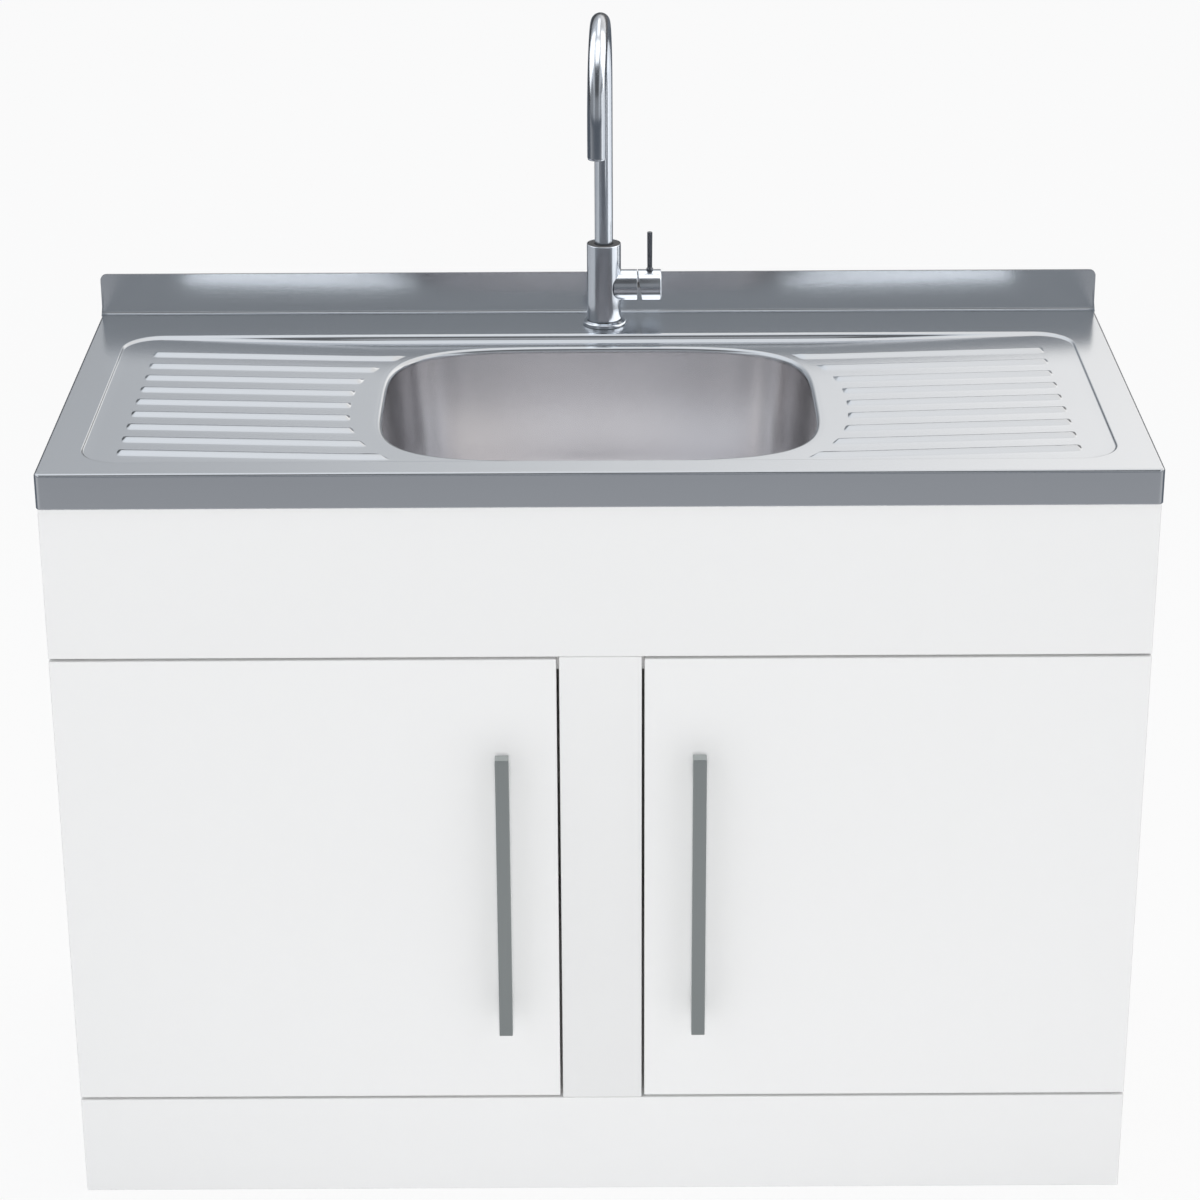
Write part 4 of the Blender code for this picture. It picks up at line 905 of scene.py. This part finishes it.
def make_spout():
    """The gooseneck, which the top doesn't mirror, and the aerator's ring in its end."""
    path, ways = spout_line()
    outer = np.full((len(path), 1), SPOUT_RADIUS)
    outer[-1] -= SPOUT_CHAMFER[0]
    skin = swept(path, ways, 64, outer)
    bore = swept(path, ways, 64, SPOUT_BORE)[::-1]
    grid = turn_about_tap(np.concatenate((skin, bore)))
    neck = piece("gooseneck", [(grid, True, True)], "spout", 35)
    neck.visible_glossy = False
    outlet = turn_about_tap(np.array((0, -2 * SPOUT_BEND, 0.0)))
    inside, low, seat = SPOUT_END + 0.0115, SPOUT_END - 0.0017, SPOUT_END - 0.0003
    insert = looped([
        (AERATOR_BORE, inside, 0), (AERATOR_BORE, SPOUT_END + 0.0006, 0), (0.0074, low, 0.0003),
        (AERATOR_RADIUS, low, 0.0006), (AERATOR_RADIUS, seat, 0.0002),
        (AERATOR_NECK, seat, 0), (AERATOR_NECK, inside, 0),
    ], 4, 0.0001)
    solid_turned("aerator_ring", "aerator", insert, 64, outlet)


# Finishes

class Value:
    """One number at each point of a surface; sums and products of values add Math nodes."""

    def __init__(self, paint, socket):
        self.paint = paint
        self.socket = socket

    def joined(self, operation, one, two):
        return self.paint.node("Math", {0: one, 1: two}, operation=operation)

    def __add__(self, other):
        return self.joined("ADD", self, other)

    def __sub__(self, other):
        return self.joined("SUBTRACT", self, other)

    def __rsub__(self, other):
        return self.joined("SUBTRACT", other, self)

    def __mul__(self, other):
        return self.joined("MULTIPLY", self, other)

    __radd__ = __add__
    __rmul__ = __mul__


class Paint:
    """A node tree under construction."""

    def __init__(self, tree):
        self.tree = tree

    def node(self, kind, inputs=None, output=0, **settings):
        """Adds one node: first its settings, then its sockets' values or links."""
        made = self.tree.nodes.new(f"ShaderNode{kind}")
        for key, value in settings.items():
            setattr(made, key, value)
        for key, value in (inputs or {}).items():
            self.feed(made.inputs[key], value)
        return Value(self, made.outputs[output])

    def feed(self, socket, value):
        """Links a value to a socket, or sets the socket to a plain number or colour."""
        if isinstance(value, Value):
            self.tree.links.new(value.socket, socket)
        else:
            socket.default_value = value

    def place(self, stretch=(1, 1, 1)):
        """The surface's own coordinates in metres, stretched."""
        spot = self.node("TexCoord", output="Object")
        return self.node("Mapping", {"Vector": spot, "Scale": stretch})

    def grain(self, scale, detail, stretch=(1, 1, 1)):
        """Noise from 0 to 1 about 0.5."""
        sockets = {"Vector": self.place(stretch), "Scale": scale, "Detail": detail}
        return self.node("TexNoise", sockets, "Fac")

    def blend(self, share, one, two):
        """A colour between two, by share."""
        sockets = {"Factor": share, 6: (*one, 1.0), 7: (*two, 1.0)}
        return self.node("Mix", sockets, 2, data_type="RGBA")

    def ramp(self, value, start, end):
        """0 before start, 1 after end, and a soft rise between them."""
        sockets = {"Value": value, "From Min": start, "From Max": end}
        return self.node("MapRange", sockets, interpolation_type="SMOOTHSTEP")

    def bump(self, height, strength, distance):
        """A normal tilted by a height, distance metres high at full strength."""
        sockets = {"Height": height, "Strength": strength, "Distance": distance}
        return self.node("Bump", sockets)


class Finish(Paint):
    """A surface finish on a Principled shader."""

    def __init__(self, name, **fixed):
        self.material = bpy.data.materials.new(name)
        self.material.use_nodes = True
        super().__init__(self.material.node_tree)
        self.shader = self.tree.nodes["Principled BSDF"]
        self.set(**fixed)

    def set(self, **sockets):
        """Sets or links the shader's sockets, named with underscores for spaces."""
        for name, value in sockets.items():
            self.feed(self.shader.inputs[name.replace("_", " ")], value)
        return self.material


def grained(name, metallic, grain, colours, rough, bump=None, cloud=None):
    """A finish that one grain varies: its colour between two, its roughness, given as base and
    span, and its bump, given as strength and distance. A cloud, given as a share and a grain of
    its own, takes that share of the colour."""
    paint = Finish(name, Metallic=metallic)
    shade = noise = paint.grain(*grain)
    if cloud:
        shade = (1 - cloud[0]) * noise + cloud[0] * paint.grain(*cloud[1])
    paint.set(Base_Color=paint.blend(shade, *colours), Roughness=rough[0] + rough[1] * noise)
    if bump:
        paint.set(Normal=paint.bump(noise, *bump))
    return paint.material


def white_melamine():
    """White board: a faint drift, a fine print of the press plate, and gloss that wanders a little."""
    paint = Finish("white_melamine", Specular_IOR_Level=0.3)
    drift = paint.grain(1.6, 1.0)
    press = paint.grain(420, 3.0)
    return paint.set(
        Base_Color=paint.blend(drift, (0.848, 0.846, 0.838), (0.872, 0.868, 0.862)),
        Roughness=0.52 + 0.12 * paint.grain(9, 3.0),
        Normal=paint.bump(press, 0.05, 0.0004),
    )


def zinc_plate():
    """Zinc plate: soft spangles."""
    paint = Finish("zinc_plate", Metallic=1.0)
    sockets = {"Vector": paint.place(), "Scale": 260.0}
    spangle = paint.node("TexVoronoi", sockets, "Color")
    shade = paint.node("SeparateColor", {"Color": spangle})
    return paint.set(
        Base_Color=paint.blend(shade, (0.50, 0.51, 0.53), (0.62, 0.62, 0.63)),
        Roughness=0.32 + 0.14 * shade,
    )


FINISHES = {
    "white_board": white_melamine(),
    "hardboard": grained(
        "pale_hardboard", 0.0, (90, 6.0, (1, 1, 3)), ((0.66, 0.64, 0.60), (0.80, 0.79, 0.76)),
        (0.62, 0.2), (0.2, 0.0004)),
    "stainless": grained(
        "brushed_sheet", 1.0, (60, 4.0, (0.12, 30, 30)),
        ((0.62, 0.645, 0.675), (0.66, 0.685, 0.715)), (0.16, 0.07), (0.015, 0.0003),
        (0.4, (7, 2.0))),
    "bar_steel": grained(
        "brushed_bar", 1.0, (80, 4.0, (30, 30, 0.15)), ((0.40, 0.43, 0.425), (0.45, 0.48, 0.475)),
        (0.34, 0.14), (0.05, 0.0003)),
    "chrome": grained(
        "polished_chrome", 1.0, (60, 4.0, (1, 1, 0.3)),
        ((0.405, 0.43, 0.465), (0.45, 0.475, 0.51)), (0.17, 0.05)),
    "zinc_steel": zinc_plate(),
    "brass": grained(
        "plain_brass", 1.0, (45, 4.0), ((0.58, 0.42, 0.18), (0.78, 0.60, 0.30)), (0.26, 0.2)),
    "white_plastic": grained(
        "moulded_white", 0.0, (300, 3.0), ((0.76, 0.76, 0.745), (0.83, 0.83, 0.82)),
        (0.40, 0.14), (0.08, 0.0003), (1.0, (14, 2.0))),
    "dark_plastic": grained(
        "moulded_dark", 0.0, (380, 3.0), ((0.035, 0.036, 0.04), (0.065, 0.066, 0.07)),
        (0.40, 0.2), (0.1, 0.0003)),
    "rubber": grained(
        "black_rubber", 0.0, (120, 4.0), ((0.02, 0.02, 0.02), (0.055, 0.055, 0.055)),
        (0.65, 0.25), (0.15, 0.0003)),
}
# The bowl, strainer and basket: the satin grain is the steel's own, but the tone, lighter than the
# top's sheet, is painted light.
SATIN_BOWL_PAINTED_LIGHT = grained(
    "satin_bowl_painted_light", 1.0, (900, 2.0), ((0.72, 0.715, 0.730), (0.87, 0.863, 0.878)),
    (0.19, 0.10), (0.06, 0.0004), (0.3, (12, 2.0)))
# The lever pin's chrome, darker than the tap's own chrome: painted shade, not a plating of its own.
PAINTED_SHADE_CHROME = grained(
    "painted_shade_chrome", 1.0, (90, 4.0, (1, 1, 0.3)), ((0.17, 0.18, 0.20), (0.22, 0.23, 0.25)),
    (0.20, 0.08))
OWN_FINISHES = {
    "bowl": SATIN_BOWL_PAINTED_LIGHT, "strainer_body": SATIN_BOWL_PAINTED_LIGHT, "strainer_basket": SATIN_BOWL_PAINTED_LIGHT,
    "lever_pin": PAINTED_SHADE_CHROME,
}


def finish_of(node):
    """A node's own finish where it has one, or else that of its material slot."""
    return OWN_FINISHES.get(node, FINISHES[SLOTS[node]])


def finish_nodes():
    """Gives every node its finish, for those that keep their own shape."""
    for node in SLOTS:
        for slot in frame["nodes"][node].material_slots:
            slot.material = finish_of(node)


# Studio

def make_camera():
    """The photograph's camera: where it stands and how far it is pitched, turned and rolled."""
    pitch, yaw, roll = CAMERA_TURN
    level = math.cos(pitch)
    ahead = Vector((math.sin(yaw) * level, math.cos(yaw) * level, -math.sin(pitch)))
    right = Vector((math.cos(yaw), -math.sin(yaw), 0))
    up = right.cross(ahead)
    across = math.cos(roll) * right + math.sin(roll) * up
    upright = math.cos(roll) * up - math.sin(roll) * right
    data = bpy.data.cameras.new("camera")
    data.sensor_width = 36.0
    data.lens = CAMERA_LENS
    camera = new_object("camera", data)
    turn = Matrix((across, upright, -ahead)).transposed()
    camera.matrix_world = Matrix.Translation(CAMERA_SPOT) @ turn.to_4x4()
    bpy.context.scene.camera = camera


def lay_plane(name, paint, height):
    """A wide flat stage piece at that height."""
    plan = ((-1, -1), (1, -1), (1, 1), (-1, 1))
    corners = [(x * STAGE_HALF, y * STAGE_HALF, height) for x, y in plan]
    mesh = bpy.data.meshes.new(name)
    mesh.from_pydata(corners, [], [(0, 1, 2, 3)])
    mesh.materials.append(paint.material)
    made = new_object(name, mesh)
    return made


def make_floor():
    """A pale floor all round; the camera sees it lightened, with the cabinet's shadow still on it."""
    paint = Finish("studio_floor", Roughness=0.9)
    tone = paint.grain(0.4, 1.0)
    paint.set(Base_Color=paint.blend(tone, (0.89, 0.89, 0.89), (0.91, 0.91, 0.91)))
    seen = paint.node("LightPath", output="Is Camera Ray")
    white = paint.node("Emission", {"Color": (1, 1, 1, 1), "Strength": 1.0})
    plain = Value(paint, paint.shader.outputs[0])
    both = paint.node("MixShader", {0: 0.85 * seen, 1: plain, 2: white})
    paint.feed(paint.tree.nodes["Material Output"].inputs["Surface"], both)
    lay_plane("studio_floor", paint, 0)


def make_card():
    """A card that only reflections show: mid grey near the cabinet and in a band before it, dark
    further off."""
    paint = Finish("grey_card", Base_Color=(0, 0, 0, 1), Roughness=0.9, Emission_Strength=1.0)
    place = paint.place((1, 1, 0))
    reach = paint.node("VectorMath", {0: place}, "Value", operation="LENGTH")
    y = paint.node("SeparateXYZ", {0: place}, "Y")
    band = paint.ramp(y, -0.4, -0.75) * paint.ramp(y, -3.6, -2.9)
    near = (0.60 + 0.38 * paint.ramp(y, -2.2, -1.6)) * band
    dark = paint.ramp(reach, 0.35, 0.75) * (1 - near)
    paint.set(Emission_Color=paint.blend(dark, (0.56, 0.56, 0.57), (0.12, 0.14, 0.17)))
    paint.material.cycles.emission_sampling = "NONE"
    card = lay_plane("grey_card", paint, CARD_HEIGHT)
    card.visible_camera = card.visible_diffuse = False
    card.visible_shadow = card.visible_transmission = False


def hang_lamp(name, glow, size, location, target, lit=()):
    """A rectangular lamp that faces a target and isn't itself seen; glow is the radiance of its face.

    It lights every piece, or only those named in lit."""
    data = bpy.data.lights.new(name, "AREA")
    data.shape = "RECTANGLE"
    data.size, data.size_y = size
    data.energy = glow * math.pi * size[0] * size[1]
    lamp = new_object(name, data)
    lamp.location = location
    lamp.rotation_euler = (Vector(target) - Vector(location)).to_track_quat("-Z", "Y").to_euler()
    lamp.visible_camera = False
    if lit:
        lamp.light_linking.receiver_collection = bpy.data.collections.new(name)
        for piece_name in lit:
            lamp.light_linking.receiver_collection.objects.link(bpy.data.objects[piece_name])
    return lamp


# Lamps of the tap: name, glow, size, and from the tap's foot the lamp's place and its target.
TAP_LAMPS = (
    ("left_body", 0.60, (0.12, 0.30), (-0.075, 0.01, 0.152), (0, 0.01, 0.152)),
    ("right_body", 1.5, (0.12, 0.30), (0.095, -0.01, 0.152), (0, -0.01, 0.152)),
    ("leg", 1.2, (0.10, 0.24), (0.085, -0.20, 0.24), (0, -0.20, 0.24)),
    ("under_barrel", 1.9, (0.055, 0.05), (0.044, -0.012, 0.002), (0.044, -0.012, 0.04)),
    ("over_barrel", 1.7, (0.32, 1.25), (0.033, 0.83, 1.31), (0.033, 0.83, 0)),
    ("left_neck", 2.0, (1.2, 1.2), (-0.98, 0.17, 1.1), (0, -0.1, 0.3)),
    ("right_neck", 2.0, (1.2, 1.2), (0.98, 0.17, 1.1), (0, -0.1, 0.3)),
    ("over_neck", 2.0, (0.9, 0.8), (0, -0.25, 1.6), (0, -0.1, 0.3)),
)
TAP_PIECES = ("tap_base_flange", "tap_column", "gooseneck", "handle_cap_shell", "aerator_ring")


def make_lamps():
    """A lamp before the doors that the metal doesn't mirror, a low one for the doors and plinth,
    two for the ribs, one for the bowl, and those of the tap, whose light stays on the tap."""
    front = hang_lamp("front_lamp", 32.0, (1.1, 1.1), (0, -6.0, 2.6), (0, APRON_Y, 0.2))
    front.visible_glossy = False
    hang_lamp("low_lamp", 0.75, (1.6, 0.1), (0, -0.75, 0.05), (0, APRON_Y, 0.1),
              ["plinth_panel_board", "door_left_board", "door_right_board"])
    for word, side in (("left", -1), ("right", 1)):
        spot = Vector((side * 0.565, -1.15, 2.2))
        below = spot - Vector((0, 0, 1))
        hang_lamp(f"{word}_rib_lamp", 3.4, (0.57, 1.5), spot, below, ["drainer_ribs"])
    hang_lamp("bowl_lamp", 2.4, (1.0, 0.6), (0, -3.2, 2.04), (0, BOWL_Y, COUNTER), ["bowl_shell"])
    for name, glow, size, spot, target in TAP_LAMPS:
        lamp = hang_lamp(f"{name}_lamp", glow, size, TAP + spot, TAP + target, TAP_PIECES)
        lamp.data.cycles.max_bounces = 0


def make_sky():
    """Studio light from all round: dim before the cabinet, lighter low down, to both sides and
    overhead; behind it bright, but for the low left and a dark horizon. The camera itself sees
    plain white."""
    world = bpy.data.worlds.new("studio")
    world.use_nodes = True
    bpy.context.scene.world = world
    sky = Paint(world.node_tree)
    way = sky.node("TexCoord", output="Generated")
    x, y, z = (sky.node("SeparateXYZ", {0: way}, axis) for axis in "XYZ")
    right = sky.ramp(x, -0.20, 0.25)
    low = 0.55 + 0.78 * right
    horizon = 0.1 + 0.9 * sky.ramp(z, 0.19, 0.285)
    high = (1.0 - low) * sky.ramp(z, 0.38, 0.60) + 0.05 * sky.ramp(z, 0.65, 0.90)
    behind = low * horizon + high
    wide = x * x
    gap = sky.ramp(wide, 0.25, 0.5) * sky.ramp(z, 0.58, 0.42)
    aside = sky.ramp(wide, 0.08, 0.30) * (1 - 0.95 * gap)
    strip = sky.ramp(z, 0.48, 0.38) * (1 - aside)
    over = sky.ramp(z, 0.86, 0.98) * (1 - aside)
    front = 0.15 + 0.29 * strip + 0.85 * aside + 0.85 * over
    back = sky.ramp(y, -0.25, 0.15)
    light = front + (behind - front) * back
    shade = sky.blend(right * back, (0.975, 1.0, 1.035), (1.03, 1.0, 0.97))
    studio = sky.node("Background", {"Color": shade, "Strength": light})
    white = sky.node("Background", {"Color": (1, 1, 1, 1), "Strength": 1.0})
    seen = sky.node("LightPath", output="Is Camera Ray")
    both = sky.node("MixShader", {0: seen, 1: studio, 2: white})
    sky.feed(world.node_tree.nodes["World Output"].inputs["Surface"], both)


def main():
    """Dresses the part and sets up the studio."""
    make_camera()
    finish_nodes()
    make_top()
    make_bowl()
    for node in ("fascia_panel", "centre_stile", "plinth_panel", "side_panel_left",
                 "side_panel_right", "bottom_panel", "front_rail", "rear_rail",
                 "door_left", "door_right"):
        make_board(node)
    make_handles()
    make_catches()
    make_waste()
    make_tap_fixing()
    make_tap()
    make_floor()
    make_card()
    make_lamps()
    make_sky()
    bpy.context.scene.view_settings.view_transform = "Standard"


main()
